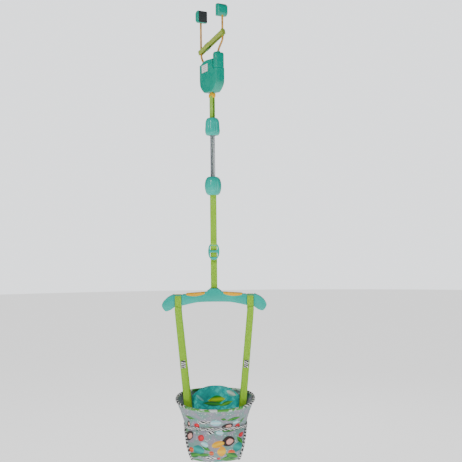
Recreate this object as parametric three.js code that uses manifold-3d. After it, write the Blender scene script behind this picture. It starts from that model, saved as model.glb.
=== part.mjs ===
// A doorway baby jumper: a door clamp, a covered bounce spring, a webbing height adjuster,
// a spreader bar and a bucket seat. Millimetres, +Z up, the bar lies along X and the seat faces -Y.
// The origin is midway between the two clamp pads, at the level of their undersides.
import * as THREE from "three";
import { mergeVertices } from "three/addons/utils/BufferGeometryUtils.js";
import Module from "manifold-3d";

const wasm = await Module();
wasm.setup();

// Driving dimensions
const GAP = 0.3; // between pieces that touch
const FIT = 0.6; // round a pin, or a strap in its slot
const WEB = 1.8; // thickness of one layer of webbing
const WEB_WIDTH = 25;
const CLAMP_TURN = -55; // degrees, the clamp about Z: a doorway seldom runs square to the seat
const WALL = 114; // the wall that the pads grip
const ARM_SPACING = 150;
const ARM_RADIUS = 4;
const PAD = { width: 44, depth: 26, height: 48, grip: 3 };
const ARM_DROP = 133; // pad underside to the top of the front arm's socket
const HOUSING = { length: 116, depth: 40, height: 151, wall: 2.6, round: 8 };
const SOCKET = { length: 24, height: 62 };
const PIN_RADIUS = 3;
const EYE = { width: 36, depth: 10, bar: 6 }; // the ring that hangs from the clamp
const EYE_DROP = 20; // housing bottom to the underside of the hanger eye
const UPPER_STRAP = 84; // eye to the top of the upper cover
const COVER = { radius: 29.5, height: 69, wall: 2.4 };
const LOWER_COVER = { radius: WEB_WIDTH / 2 + 20.5, height: 72, mouth: WEB_WIDTH / 2 + 6.3 };
const SPRING = { length: 160, radius: 10, wire: 4.2, pitch: 5, inside: 26 };
const LOWER_STRAP = 186; // lower cover to the top of the adjuster
const ADJUSTER = { width: 44, height: 66, depth: 6 };
const HUB_STRAP = 110; // bottom of the adjuster to the top of the bar's hub
const BAR = { half: 203, depth: 40, rise: 23, thick: 38, droop: 34, wall: 2.4, strapX: 140, swing: 20 };
const HUB = { half: 28, height: 14 };
const SEAT_DROP = 426; // bar underside to the mean height of the seat's rim
const RIM = { halfX: 150, halfY: 120, tilt: 21, ear: 6 };
const WAIST = { halfX: 118, halfY: 96, drop: 90 };
const SLING = { drop: 143, topHalf: 112, bottomHalf: 84 };
const CLOTH = 4; // thickness of a padded fabric panel
const BINDING = 4.5; // radius of the bound edges
const BACK_PAD = { half: 92, height: 112, thick: 13, above: 20 };

// Heights, worked down from the pads
const socketTop = -ARM_DROP;
const housingTop = socketTop - 24;
const housingBottom = socketTop - HOUSING.height;
const eyePinZ = housingBottom + 8;
const eyeBottom = housingBottom - EYE_DROP;
const coverTop = eyeBottom - UPPER_STRAP + 6;
const coverBottom = coverTop - COVER.height;
const lowerTop = coverBottom - SPRING.length;
const lowerBottom = lowerTop - LOWER_COVER.height;
const adjusterTop = lowerBottom - LOWER_STRAP;
const adjusterBottom = adjusterTop - ADJUSTER.height;
const hubTop = adjusterBottom - HUB_STRAP;
const barTop = hubTop - HUB.height; // at the middle, beside the hub
const barUnder = barTop - BAR.thick;
const rimZ = barUnder - SEAT_DROP + 40;
const waistZ = rimZ - WAIST.drop;

// Materials
const paint = (color, roughness, metalness = 0) =>
  new THREE.MeshStandardMaterial({ color, roughness, metalness });
const teal = paint(0x12b5a3, 0.3);
const brightTeal = paint(0x10c8b8, 0.25);
const yellow = paint(0xe0b422, 0.4);
const armPaint = paint(0xc2922c, 0.35, 0.2);
const steel = paint(0xa7adb2, 0.3, 0.9);
const rubber = paint(0x2c3133, 0.85);
const lime = paint(0x96c832, 0.9);
const print = paint(0xc9d4d0, 0.95);
const padCloth = paint(0x2cc4bb, 0.95);
const zebra = paint(0x30302f, 0.9);
const white = paint(0xf1f2f0, 0.5);

// Solid helpers
function solid(geometry) {
  const g = geometry.clone();
  g.deleteAttribute("normal");
  g.deleteAttribute("uv");
  const merged = mergeVertices(g, 1e-4);
  return new wasm.Manifold(
    new wasm.Mesh({
      numProp: 3,
      vertProperties: merged.attributes.position.array,
      triVerts: new Uint32Array(merged.index.array),
    }),
  );
}
function geometryOf(manifold) {
  const mesh = manifold.getMesh();
  return new THREE.BufferGeometry()
    .setAttribute("position", new THREE.BufferAttribute(mesh.vertProperties, 3))
    .setIndex(new THREE.BufferAttribute(mesh.triVerts, 1));
}
const join = (...parts) => geometryOf(parts.map(solid).reduce((a, b) => a.add(b)));
const cut = (body, ...tools) =>
  geometryOf(tools.map(solid).reduce((a, b) => a.subtract(b), solid(body)));
const common = (a, b) => geometryOf(solid(a).intersect(solid(b)));

function box(x0, x1, y0, y1, z0, z1) {
  const g = new THREE.BoxGeometry(x1 - x0, y1 - y0, z1 - z0);
  return g.translate((x0 + x1) / 2, (y0 + y1) / 2, (z0 + z1) / 2);
}
// A cylinder of a given radius from one end to the other along an axis, "x", "y" or "z".
function rod(axis, radius, from, to, at, sides = 20) {
  const g = new THREE.CylinderGeometry(radius, radius, to - from, sides);
  g.translate(0, (from + to) / 2, 0);
  if (axis === "x") g.rotateZ(-Math.PI / 2);
  if (axis === "z") g.rotateX(Math.PI / 2);
  return g.translate(...at);
}
// Extrudes an outline in the X-Z plane along Y, centred on y = 0, with rounded edges.
function slab(shape, depth, round = 0, curveSegments = 10) {
  const g = new THREE.ExtrudeGeometry(shape, {
    depth: depth - 2 * round,
    bevelEnabled: round > 0,
    bevelThickness: round,
    bevelSize: round,
    bevelOffset: -round,
    bevelSegments: round > 0 ? 2 : 0,
    curveSegments,
  });
  return g.translate(0, 0, -(depth - 2 * round) / 2).rotateX(Math.PI / 2);
}
// Extrudes an outline in the Y-Z plane along X, centred on x = 0.
const sideSlab = (shape, width, curveSegments = 8) =>
  slab(shape, width, 0, curveSegments).rotateZ(Math.PI / 2);

function roundedRect(x0, x1, z0, z1, r, target = new THREE.Shape()) {
  target.moveTo(x0 + r, z0);
  target.lineTo(x1 - r, z0);
  target.absarc(x1 - r, z0 + r, r, -Math.PI / 2, 0);
  target.lineTo(x1, z1 - r);
  target.absarc(x1 - r, z1 - r, r, 0, Math.PI / 2);
  target.lineTo(x0 + r, z1);
  target.absarc(x0 + r, z1 - r, r, Math.PI / 2, Math.PI);
  target.lineTo(x0, z0 + r);
  target.absarc(x0 + r, z0 + r, r, Math.PI, 1.5 * Math.PI);
  return target;
}
// A round bar along a curve through the points.
function tube(points, radius, sides = 8, steps = 40, closed = false, tension = 0.5) {
  const path = new THREE.CatmullRomCurve3(points, closed, "catmullrom", tension);
  const section = new THREE.Shape();
  section.absarc(0, 0, radius, 0, 2 * Math.PI);
  return new THREE.ExtrudeGeometry(section, {
    steps,
    extrudePath: path,
    curveSegments: sides / 2,
    bevelEnabled: false,
  });
}
// A fabric panel: a surface given by at(u, v), thickened both ways. In u it closes on itself if loop is set.
function panel(at, nu, nv, thick, loop) {
  const columns = loop ? nu : nu + 1;
  const positions = [];
  const e = 1e-3;
  for (const side of [1, -1])
    for (let i = 0; i < columns; i++)
      for (let j = 0; j <= nv; j++) {
        const [u, v] = [i / nu, j / nv];
        const du = at(u + e, v).sub(at(u - e, v));
        const dv = at(u, v + e).sub(at(u, v - e));
        const half = (side * (typeof thick === "function" ? thick(u, v) : thick)) / 2;
        const p = at(u, v).addScaledVector(du.cross(dv).normalize(), half);
        positions.push(p.x, p.y, p.z);
      }
  const index = [];
  const back = columns * (nv + 1);
  const id = (i, j) => (i % columns) * (nv + 1) + j;
  const quad = (a, b, c, d) => index.push(a, b, c, a, c, d);
  for (let i = 0; i < nu; i++) {
    for (let j = 0; j < nv; j++) {
      quad(id(i, j), id(i + 1, j), id(i + 1, j + 1), id(i, j + 1));
      quad(back + id(i, j), back + id(i, j + 1), back + id(i + 1, j + 1), back + id(i + 1, j));
    }
    quad(id(i, 0), back + id(i, 0), back + id(i + 1, 0), id(i + 1, 0));
    quad(id(i, nv), id(i + 1, nv), back + id(i + 1, nv), back + id(i, nv));
  }
  if (!loop)
    for (let j = 0; j < nv; j++) {
      quad(id(0, j), id(0, j + 1), back + id(0, j + 1), back + id(0, j));
      quad(id(nu, j), back + id(nu, j), back + id(nu, j + 1), id(nu, j + 1));
    }
  return new THREE.BufferGeometry()
    .setAttribute("position", new THREE.Float32BufferAttribute(positions, 3))
    .setIndex(index);
}

const jumper = new THREE.Group();
const clamp = new THREE.Group();
clamp.rotation.z = THREE.MathUtils.degToRad(CLAMP_TURN);
jumper.add(clamp);
function add(group, name, geometry, material) {
  const g = geometry.index ? geometry.toNonIndexed() : geometry;
  g.computeVertexNormals();
  const mesh = new THREE.Mesh(g, material);
  mesh.name = name;
  group.add(mesh);
}
const V = (x, y, z) => new THREE.Vector3(x, y, z);

// The door clamp's housing: a tall U with a low mouth for the rear arm, in two shells.
const half = HOUSING.length / 2;
const socketInner = half - SOCKET.length;
const rearPivot = V(-half + 16, 0, housingTop - 34);
const shoulder = rearPivot.z + 20; // where the housing's top meets its rear end
function housingOutline(inset) {
  const s = new THREE.Shape();
  const [left, right] = [-half + inset, half - inset];
  const low = housingBottom + inset;
  const waist = housingBottom + 48;
  s.moveTo(left, waist);
  s.bezierCurveTo(left, low + 20, left + 22, low, -20, low);
  s.lineTo(20, low);
  s.bezierCurveTo(right - 22, low, right, low + 20, right, waist);
  s.lineTo(right, housingTop - inset - SOCKET.height + 24);
  s.lineTo(socketInner - 2, housingTop - inset - SOCKET.height + 24);
  s.lineTo(socketInner - 2, housingTop - inset);
  s.lineTo(-14, housingTop - inset);
  s.quadraticCurveTo(left + 12, housingTop - inset - 2, left, shoulder - inset);
  return s;
}
function armSocket() {
  const low = socketTop - SOCKET.height + GAP;
  const outer = slab(roundedRect(socketInner, half, low, socketTop, 5), HOUSING.depth - 2, 4, 4);
  const hole = rod("z", ARM_RADIUS + 2 * FIT, socketTop - 46, socketTop + 5, [armFoot.x, 0, 0]);
  return cut(outer, hole);
}
const screwSpots = [
  [-34, housingBottom + 42],
  [34, housingBottom + 42],
  [-22, housingTop - 20],
  [22, housingTop - 24],
];
const SCREW = { shank: 1.6, head: 3.4, boss: 4.5, sink: 2.6 };
// A half of a hollow casing: side is -1 for the half that faces -Y, +1 for the other.
function half_shell(shape, inner, depth, wall, round, side, spots) {
  const big = 1000;
  const keep = side < 0 ? [-depth, -GAP / 2] : [GAP / 2, depth];
  let body = solid(common(slab(shape, depth, round), box(-big, big, ...keep, -2 * big, 0)));
  const pocketEnd = side * (depth / 2 - wall);
  const pocket = slab(inner, depth - 2 * wall);
  body = body.subtract(solid(pocket));
  const reach = side < 0 ? [pocketEnd - 1, -GAP / 2] : [GAP / 2, pocketEnd + 1];
  for (const [x, z] of spots) {
    body = body.add(solid(rod("y", SCREW.boss, ...reach, [x, 0, z], 12)));
  }
  for (const [x, z] of spots) {
    const through = side > 0 ? [-1, depth] : [-depth / 2 + wall + 3, 1];
    body = body.subtract(solid(rod("y", SCREW.shank + GAP, ...through, [x, 0, z], 12)));
    if (side < 0) continue;
    const sink = [depth / 2 - SCREW.sink, depth / 2 + 5];
    body = body.subtract(solid(rod("y", SCREW.head + GAP, ...sink, [x, 0, z], 12)));
  }
  return body;
}
const screw = (x, z, depth, wall) =>
  join(
    rod("y", SCREW.shank, -depth / 2 + wall + 4, depth / 2 - 1, [x, 0, z], 10),
    rod("y", SCREW.head, depth / 2 - SCREW.sink + GAP, depth / 2 - 0.4, [x, 0, z], 12),
  );
const armFoot = V(half - SOCKET.length / 2, 0, socketTop - 40);
function housing(side) {
  const shell = half_shell(
    housingOutline(0),
    housingOutline(HOUSING.wall),
    HOUSING.depth,
    HOUSING.wall,
    HOUSING.round * 0.55,
    side,
    screwSpots,
  );
  const tools = [
    // the mouth that the rear arm swings in, and the slot under the eye
    box(-half - 5, rearPivot.x + 14, -6, 6, rearPivot.z - 6, housingTop + 5),
    box(-EYE.width / 2 - 5, EYE.width / 2 + 5, -7, 7, housingBottom - 5, eyePinZ + 12),
    rod("y", PIN_RADIUS + 0.1, -HOUSING.depth, HOUSING.depth, [0, 0, eyePinZ], 16),
    rod("y", PIN_RADIUS + 0.1, -HOUSING.depth, HOUSING.depth, rearPivot.toArray(), 16),
  ];
  return geometryOf(tools.map(solid).reduce((a, b) => a.subtract(b), shell));
}
for (const [name, side] of [["front", -1], ["rear", 1]])
  add(clamp, `clamp_housing_${name}`, housing(side), teal);
screwSpots.forEach(([x, z], i) =>
  add(clamp, `clamp_screw_${i + 1}`, screw(x, z, HOUSING.depth, HOUSING.wall), steel),
);
add(clamp, "front_arm_socket", armSocket(), teal);
const pinLength = HOUSING.depth - 1;
for (const [name, x, z] of [["rear_arm_pin", rearPivot.x, rearPivot.z], ["eye_pin", 0, eyePinZ]])
  add(clamp, name, rod("y", PIN_RADIUS, -pinLength / 2, pinLength / 2, [x, 0, z], 16), steel);

const LABEL = { width: 42, height: 30, thick: 0.8 };
const labelAt = V(-18, -HOUSING.depth / 2 - GAP, housingTop - 32);
add(
  clamp,
  "clamp_label",
  box(
    labelAt.x - LABEL.width / 2,
    labelAt.x + LABEL.width / 2,
    labelAt.y - LABEL.thick,
    labelAt.y,
    labelAt.z - LABEL.height / 2,
    labelAt.z + LABEL.height / 2,
  ),
  white,
);

// The two arms, each a bent round bar that ends inside its pad.
const armX = ARM_SPACING / 2;
const padInner = WALL / 2;
const armTop = PAD.height - 14;
function frontArm() {
  const foot = armFoot;
  const path = [
    V(foot.x, 0, foot.z),
    V(foot.x, 0, foot.z + 30),
    V(foot.x + 2, 0, socketTop + 10),
    V(armX - 1, 0, socketTop + 42),
    V(armX, 0, socketTop + 60),
    V(armX, 0, -30),
    V(armX, 0, 0),
    V(armX, 0, armTop),
  ];
  return tube(path, ARM_RADIUS, 8, 32);
}
function rearArm() {
  const path = [
    V(rearPivot.x, 0, rearPivot.z + 6),
    V(rearPivot.x - 4, 0, rearPivot.z + 20),
    V(-armX + 9, 0, socketTop - 14),
    V(-armX + 1, 0, socketTop + 6),
    V(-armX, 0, socketTop + 30),
    V(-armX, 0, -30),
    V(-armX, 0, 0),
    V(-armX, 0, armTop),
  ];
  const barrel = rod("y", 8, -5, 5, rearPivot.toArray());
  const bore = rod("y", PIN_RADIUS + 0.1, -9, 9, rearPivot.toArray(), 16);
  return cut(join(tube(path, ARM_RADIUS, 8, 32), barrel), bore);
}
function pad(side) {
  const x0 = padInner + PAD.grip + GAP;
  const outline = new THREE.Shape();
  const x1 = padInner + PAD.depth;
  outline.moveTo(x0, 0);
  outline.lineTo(x1 - 6, 0);
  outline.quadraticCurveTo(x1, 0, x1, 8);
  outline.lineTo(x1, PAD.height - 10);
  outline.quadraticCurveTo(x1, PAD.height, x1 - 10, PAD.height);
  outline.lineTo(x0, PAD.height);
  const body = slab(outline, PAD.width, 3);
  const hole = rod("z", ARM_RADIUS + GAP, -10, armTop + GAP, [armX, 0, 0], 12);
  return cut(body, hole).scale(side, 1, 1);
}
const grip = (side) => {
  const outline = roundedRect(padInner, padInner + PAD.grip, 2, PAD.height - 2, 1);
  return slab(outline, PAD.width - 6).scale(side, 1, 1);
};
// Turns a mirrored solid's faces back round.
function flip(g) {
  const m = g.index ? g : mergeVertices(g);
  const i = m.index.array;
  for (let k = 0; k < i.length; k += 3) [i[k], i[k + 1]] = [i[k + 1], i[k]];
  return m;
}
add(clamp, "front_arm", frontArm(), armPaint);
add(clamp, "front_pad", pad(1), teal);
add(clamp, "front_grip", grip(1), rubber);
add(clamp, "rear_arm", rearArm(), armPaint);
add(clamp, "rear_pad", flip(pad(-1)), teal);
add(clamp, "rear_grip", flip(grip(-1)), rubber);

class Coil extends THREE.Curve {
  constructor(radius, pitch, turns, top) {
    super();
    Object.assign(this, { radius, pitch, turns, top });
  }
  getPoint(t) {
    const a = 2 * Math.PI * this.turns * t;
    const z = this.top - this.pitch * this.turns * t;
    return V(this.radius * Math.cos(a), this.radius * Math.sin(a), z);
  }
}
function coil(radius, wire, pitch, turns, top, perTurn, sides) {
  const section = new THREE.Shape();
  section.absarc(0, 0, wire / 2, 0, 2 * Math.PI);
  return new THREE.ExtrudeGeometry(section, {
    steps: Math.round(turns * perTurn),
    extrudePath: new Coil(radius, pitch, turns, top),
    curveSegments: sides / 2,
    bevelEnabled: false,
  });
}
const armSpring = coil(6.5, 1.8, 2.2, 3.2, 3.5, 10, 6);
armSpring.rotateX(Math.PI / 2).translate(rearPivot.x, -11, rearPivot.z);
add(clamp, "arm_spring", armSpring, steel);

// The safety strap joins the two arms across the doorway, through a ladder buckle.
const strapLow = V(-armX, 0, socketTop + 18);
const strapHigh = V(armX, 0, socketTop + 70);
const strapSlope = Math.atan2(strapHigh.z - strapLow.z, strapHigh.x - strapLow.x);
const STRAP_WIDTH = 20;
function collar(at, height) {
  const ring = rod("z", ARM_RADIUS + GAP + 2 * WEB, -height / 2, height / 2, [0, 0, 0], 16);
  return cut(ring, rod("z", ARM_RADIUS + 2 * FIT, -height, height, [0, 0, 0], 16)).translate(
    at.x,
    at.y,
    at.z,
  );
}
const BUCKLE = { length: 26, height: 27, depth: 9, at: 0.3 };
function safetyRun(from, to) {
  const length = strapHigh.clone().sub(strapLow).length();
  const g = box(from * length, to * length, -WEB / 2, WEB / 2, -STRAP_WIDTH / 2, STRAP_WIDTH / 2);
  return g.rotateY(-strapSlope).translate(strapLow.x, 0, strapLow.z);
}
const clear = (ARM_RADIUS + GAP + 2 * WEB + GAP) / (2 * armX);
add(clamp, "safety_strap_collar_front", collar(strapHigh, 28), lime);
add(clamp, "safety_strap_collar_rear", collar(strapLow, 20), lime);
add(clamp, "safety_strap", safetyRun(clear + 0.035, 1 - clear - 0.035), lime);
function safetyBuckle() {
  const l = BUCKLE.length / 2;
  const h = BUCKLE.height / 2;
  const outer = slab(roundedRect(-l, l, -h, h, 5), BUCKLE.depth, 1.5, 4);
  const slot = box(-l - 5, l + 5, -WEB, WEB, -STRAP_WIDTH / 2 - 1, STRAP_WIDTH / 2 + 1);
  const at = strapLow.clone().lerp(strapHigh, BUCKLE.at);
  return cut(outer, slot).rotateY(-strapSlope).translate(at.x, 0, at.z);
}
add(clamp, "safety_buckle", safetyBuckle(), rubber);

// The eye turns on its pin at the foot of the housing and carries the upper strap in its slot.
function eye() {
  const outline = roundedRect(-EYE.width / 2, EYE.width / 2, eyeBottom, eyeBottom + 18, 4);
  const plate = slab(outline, EYE.depth, 2, 3);
  const neck = box(-7, 7, -4, 4, eyeBottom + 14, eyePinZ);
  const barrel = rod("y", 7, -6, 6, [0, 0, eyePinZ]);
  const bore = rod("y", PIN_RADIUS + 0.1, -9, 9, [0, 0, eyePinZ], 16);
  const slotWidth = WEB_WIDTH / 2 + 1;
  const slot = slab(
    roundedRect(-slotWidth, slotWidth, eyeBottom + EYE.bar, eyeBottom + 13, 2),
    40,
    0,
    4,
  );
  return cut(join(plate, neck, barrel), bore, slot);
}
add(clamp, "hanger_eye", eye(), yellow);

// The bounce unit: webbing, a two-part cover, a plug that holds the coil, and the same again below.
const turned = new THREE.Group(); // hangs under the clamp and keeps the clamp's angle
turned.rotation.z = clamp.rotation.z;
jumper.add(turned);

// A loop of webbing round two bars, sewn together between them: its outline in the Y-Z plane.
function loopStrap(top, bottom, width) {
  const s = new THREE.Shape();
  const turn = (bar) => Math.acos((WEB + 0.1) / (bar.radius + FIT + WEB));
  s.absarc(0, top.z, top.radius + FIT + WEB, -turn(top), Math.PI + turn(top));
  s.absarc(0, bottom.z, bottom.radius + FIT + WEB, Math.PI - turn(bottom), 2 * Math.PI + turn(bottom));
  for (const bar of [top, bottom]) {
    const hole = new THREE.Path();
    hole.absarc(0, bar.z, bar.radius + FIT, 0, 2 * Math.PI);
    s.holes.push(hole);
  }
  return sideSlab(s, width, 6);
}
const OVERLAP_TOP = 14; // how far the webbing's lower end sits inside the cover
const coverPinZ = coverTop - OVERLAP_TOP;
const eyeBar = { z: eyeBottom + EYE.bar / 2, radius: Math.hypot(EYE.depth, EYE.bar) / 2 + 0.2 };
const coverPin = { z: coverPinZ, radius: PIN_RADIUS };
add(turned, "upper_strap", loopStrap(eyeBar, coverPin, WEB_WIDTH), lime);

// Covers: lathe profiles listed as [share of radius, share of height from the bottom].
const BELL = [[0.62, 1], [0.86, 0.93], [0.97, 0.78], [0.94, 0.6], [1, 0.28], [0.98, 0.1], [0.84, 0]];
const BARREL = [[0.6, 1], [0.86, 0.92], [0.97, 0.76], [1, 0.52], [0.96, 0.28], [0.84, 0.08], [0.66, 0]];
function coverShell(profile, radius, z0, height, mouthTop, mouthBottom, side) {
  const wall = COVER.wall;
  const outer = profile.map(([r, h]) => new THREE.Vector2(r * radius, z0 + h * height));
  const inner = outer
    .slice()
    .reverse()
    .map((p) => {
      const h = (p.y - z0) / height;
      return new THREE.Vector2(p.x - wall, z0 + wall + h * (height - 2 * wall));
    });
  const points = [
    new THREE.Vector2(mouthTop, z0 + height),
    ...outer,
    new THREE.Vector2(mouthBottom, z0),
    new THREE.Vector2(mouthBottom, z0 + wall),
    ...inner,
    new THREE.Vector2(mouthTop, z0 + height - wall),
    new THREE.Vector2(mouthTop, z0 + height),
  ].reverse();
  const ring = new THREE.LatheGeometry(points, 28).rotateX(Math.PI / 2);
  const keep = side < 0 ? [-radius * 2, -GAP / 2] : [GAP / 2, radius * 2];
  return common(ring, box(-radius * 2, radius * 2, ...keep, z0 - 5, z0 + height + 5));
}
const coilRadius = SPRING.radius - SPRING.wire / 2;
const COIL_SIDES = 7; // flats in each turn of the coil
const plugRadius = coilRadius * Math.cos(Math.PI / COIL_SIDES) - SPRING.wire / 2;
// A plug that screws into the coil, with two lugs that hold the webbing's pin beyond it.
function plug(pinZ, flangeZ, end, flange) {
  const up = Math.sign(pinZ - flangeZ);
  const order = (a, b) => (a < b ? [a, b] : [b, a]);
  const disc = rod("z", flange, ...order(flangeZ, flangeZ + up * 4), [0, 0, 0], 24);
  const core = rod("z", plugRadius, ...order(flangeZ + up, end), [0, 0, 0], 12);
  const lugX = WEB_WIDTH / 2 + 1.5;
  const lugs = [-1, 1].map((side) => {
    const x = order(side * lugX, side * (lugX + 4));
    return box(...x, -5, 5, ...order(flangeZ + up, pinZ + up * 5));
  });
  const bore = rod("x", PIN_RADIUS + 0.1, -40, 40, [0, 0, pinZ], 16);
  return cut(join(disc, core, ...lugs), bore);
}
const pinSpan = WEB_WIDTH / 2 + 5.5;
const coilTop = coverBottom + SPRING.inside;
const coilBottom = lowerTop - SPRING.inside;
for (const [name, side] of [["front", -1], ["rear", 1]]) {
  const shell = coverShell(BELL, COVER.radius, coverBottom, COVER.height, 16, 13, side);
  add(turned, `upper_cover_${name}`, shell, brightTeal);
}
add(turned, "upper_cover_pin", rod("x", PIN_RADIUS, -pinSpan, pinSpan, [0, 0, coverPinZ], 16), steel);
const upperPlug = plug(coverPinZ, coilTop + GAP, coverBottom + 6, 25.6);
add(turned, "upper_spring_plug", upperPlug, rubber);
const turns = Math.round((coilTop - coilBottom - SPRING.wire) / SPRING.pitch);
const pitch = (coilTop - coilBottom - SPRING.wire) / turns;
const spring = coil(coilRadius, SPRING.wire, pitch, turns, coilTop - SPRING.wire / 2, COIL_SIDES, 4);
add(turned, "bounce_spring", spring, steel);
const tetherEnds = [lowerTop - 6 + GAP + 1, coverBottom + 6 - GAP - 1];
add(turned, "spring_tether", rod("z", 2, ...tetherEnds, [0, 0, 0], 8), lime);

// Below the coil the unit swivels: a headed post turns in the lower plug's flange.
const SWIVEL = { post: 4, head: 9, bar: 3.2 };
const seatSide = new THREE.Group(); // square to the bar and the seat
jumper.add(seatSide);
const plugFloor = lowerTop - SPRING.inside - 6;
for (const [name, side] of [["front", -1], ["rear", 1]]) {
  const shell = coverShell(BARREL, LOWER_COVER.radius, lowerBottom, LOWER_COVER.height, 13, LOWER_COVER.mouth, side);
  add(seatSide, `lower_cover_${name}`, shell, brightTeal);
}
function lowerPlug() {
  const top = coilBottom - GAP;
  const flange = rod("z", 28, top - 5, top, [0, 0, 0], 24);
  const core = rod("z", plugRadius, top - 1, lowerTop - 6, [0, 0, 0], 12);
  const housingRing = rod("z", 13, plugFloor - 12, top - 4, [0, 0, 0], 24);
  const hollow = rod("z", SWIVEL.head + GAP, plugFloor - 9, plugFloor - 2, [0, 0, 0], 20);
  const throat = rod("z", SWIVEL.post + GAP, plugFloor - 20, plugFloor - 8, [0, 0, 0], 16);
  return cut(join(flange, core, housingRing), hollow, throat);
}
add(turned, "lower_spring_plug", lowerPlug(), rubber);
const swivelBarZ = lowerBottom + 7;
function swivel() {
  const head = rod("z", SWIVEL.head, plugFloor - 9 + GAP, plugFloor - 2 - GAP, [0, 0, 0], 20);
  const post = rod("z", SWIVEL.post, swivelBarZ + 10, plugFloor - 6, [0, 0, 0], 12);
  const bar = WEB_WIDTH / 2 + 1;
  const yoke = box(-bar - 4, bar + 4, -4, 4, swivelBarZ + 7, swivelBarZ + 11);
  const legs = [-1, 1].map((s) =>
    box(Math.min(s * bar, s * (bar + 4)), Math.max(s * bar, s * (bar + 4)), -4, 4, swivelBarZ - 4, swivelBarZ + 8),
  );
  const cross = rod("x", SWIVEL.bar, -bar - 1, bar + 1, [0, 0, swivelBarZ], 12);
  return join(head, post, yoke, ...legs, cross);
}
add(seatSide, "swivel", swivel(), steel);

// The height adjuster: an oval ring with a middle bar that the webbing weaves through.
const adjusterZ = (adjusterTop + adjusterBottom) / 2;
function adjuster() {
  const ring = new THREE.Shape();
  ring.absellipse(0, adjusterZ, ADJUSTER.width / 2, ADJUSTER.height / 2, 0, 2 * Math.PI);
  const body = slab(ring, ADJUSTER.depth, 2, 14);
  const w = WEB_WIDTH / 2 + 1.2;
  const mid = 4;
  const reach = 22;
  const upper = slab(roundedRect(-w, w, adjusterZ + mid, adjusterZ + reach, 3), 30, 0, 4);
  const lower = slab(roundedRect(-w, w, adjusterZ - reach, adjusterZ - mid, 3), 30, 0, 4);
  return cut(body, upper, lower);
}
add(seatSide, "height_adjuster", adjuster(), brightTeal);

// A ribbon of webbing through points of the Y-Z plane, its width along X.
function ribbon(points, width, thickness) {
  const path = new THREE.CatmullRomCurve3(points, false, "centripetal");
  const n = points.length * 4;
  const s = new THREE.Shape();
  const sides = [[], []];
  for (let i = 0; i <= n; i++) {
    const p = path.getPoint(i / n);
    const t = path.getTangent(i / n);
    sides[0].push([p.y - (t.z * thickness) / 2, p.z + (t.y * thickness) / 2]);
    sides[1].push([p.y + (t.z * thickness) / 2, p.z - (t.y * thickness) / 2]);
  }
  const outline = [...sides[0], ...sides[1].reverse()];
  s.setFromPoints(outline.map(([y, z]) => new THREE.Vector2(y, z)));
  return sideSlab(s, width);
}
const ringY = ADJUSTER.depth / 2 + WEB / 2 + FIT + GAP; // webbing that lies against the ring
const hubPinZ = hubTop - 12;
const swivelLoop = { z: swivelBarZ, radius: SWIVEL.bar };
function lowerStrap() {
  const loop = loopStrap(swivelLoop, { z: lowerBottom - 26, radius: 0.4 }, WEB_WIDTH);
  const run = ribbon(
    [
      V(0, 0.5, lowerBottom - 24),
      V(0, 1, lowerBottom - 60),
      V(0, ringY, adjusterTop + 8),
      V(0, ringY, adjusterTop - 12),
      V(0, 0, adjusterZ + 11),
      V(0, -ringY, adjusterZ + 3),
      V(0, -ringY, adjusterZ + 0.5),
    ],
    WEB_WIDTH,
    WEB,
  );
  return join(loop, run);
}
function hubStrap() {
  const at = HUB_PIN + 3 * FIT + WEB / 2;
  return ribbon(
    [
      V(0, -ringY, adjusterZ - 0.5),
      V(0, -ringY, adjusterZ - 3),
      V(0, 0, adjusterZ - 11),
      V(0, ringY, adjusterBottom + 10),
      V(0, ringY, adjusterBottom - 6),
      V(0, at, hubPinZ + 20),
      V(0, at, hubPinZ),
      V(0, 0, hubPinZ - at),
      V(0, -at, hubPinZ),
      V(0, -at, hubPinZ + 20),
      V(0, -2, adjusterBottom - 50),
      V(0, -1.5, adjusterBottom - 10),
    ],
    WEB_WIDTH,
    WEB,
  );
}
const HUB_PIN = 4;
add(seatSide, "lower_strap", lowerStrap(), lime);
add(seatSide, "hub_strap", hubStrap(), lime);

// The spreader bar: a shallow arch with a hub in the middle and drooping ends, in two shells.
const BAR_ROUND = 6;
const strapFlat = 20; // half length of the flat seat under each side strap
const flatTop = barTop - BAR.rise + 14;
const tipZ = barTop - BAR.rise - BAR.droop - 12;
function barOutline(inset) {
  const s = new THREE.Shape();
  const i = inset;
  const [x, h] = [BAR.strapX, BAR.half - i];
  const under = barUnder + i;
  s.moveTo(0, under);
  s.quadraticCurveTo(x * 0.5, under - 1, x - strapFlat, under - 13);
  s.lineTo(x + 14, under - 20);
  s.bezierCurveTo(x + 30, tipZ + i - 4, h, tipZ + i - 6, h, tipZ + 16);
  s.bezierCurveTo(h, tipZ + 32, x + strapFlat + 12, flatTop - i - 16, x + strapFlat - i, flatTop - i);
  s.lineTo(x - strapFlat, flatTop - i);
  s.quadraticCurveTo(x * 0.5, barTop - i - 3, HUB.half + 2 - i, barTop - i);
  s.lineTo(HUB.half - i, barTop - i + 4);
  s.bezierCurveTo(HUB.half - 10, hubTop - i - 2, 14, hubTop - i, 0, hubTop - i);
  const points = s.getPoints(5);
  const left = points.slice(1, -1).reverse().map((p) => new THREE.Vector2(-p.x, p.y));
  return new THREE.Shape([...points, ...left]);
}
const CHANNEL = { width: WEB_WIDTH + 3, deep: 3 };
const INSERT = { from: 32, to: 112, height: 15, deep: 16 };
const topAt = (x) => barTop - 4 - ((barTop - flatTop - 4) * Math.abs(x)) / (BAR.strapX - strapFlat);
const barScrews = [
  [-66, barUnder + 10],
  [66, barUnder + 10],
  [-116, barUnder + 4],
  [116, barUnder + 4],
];
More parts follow.
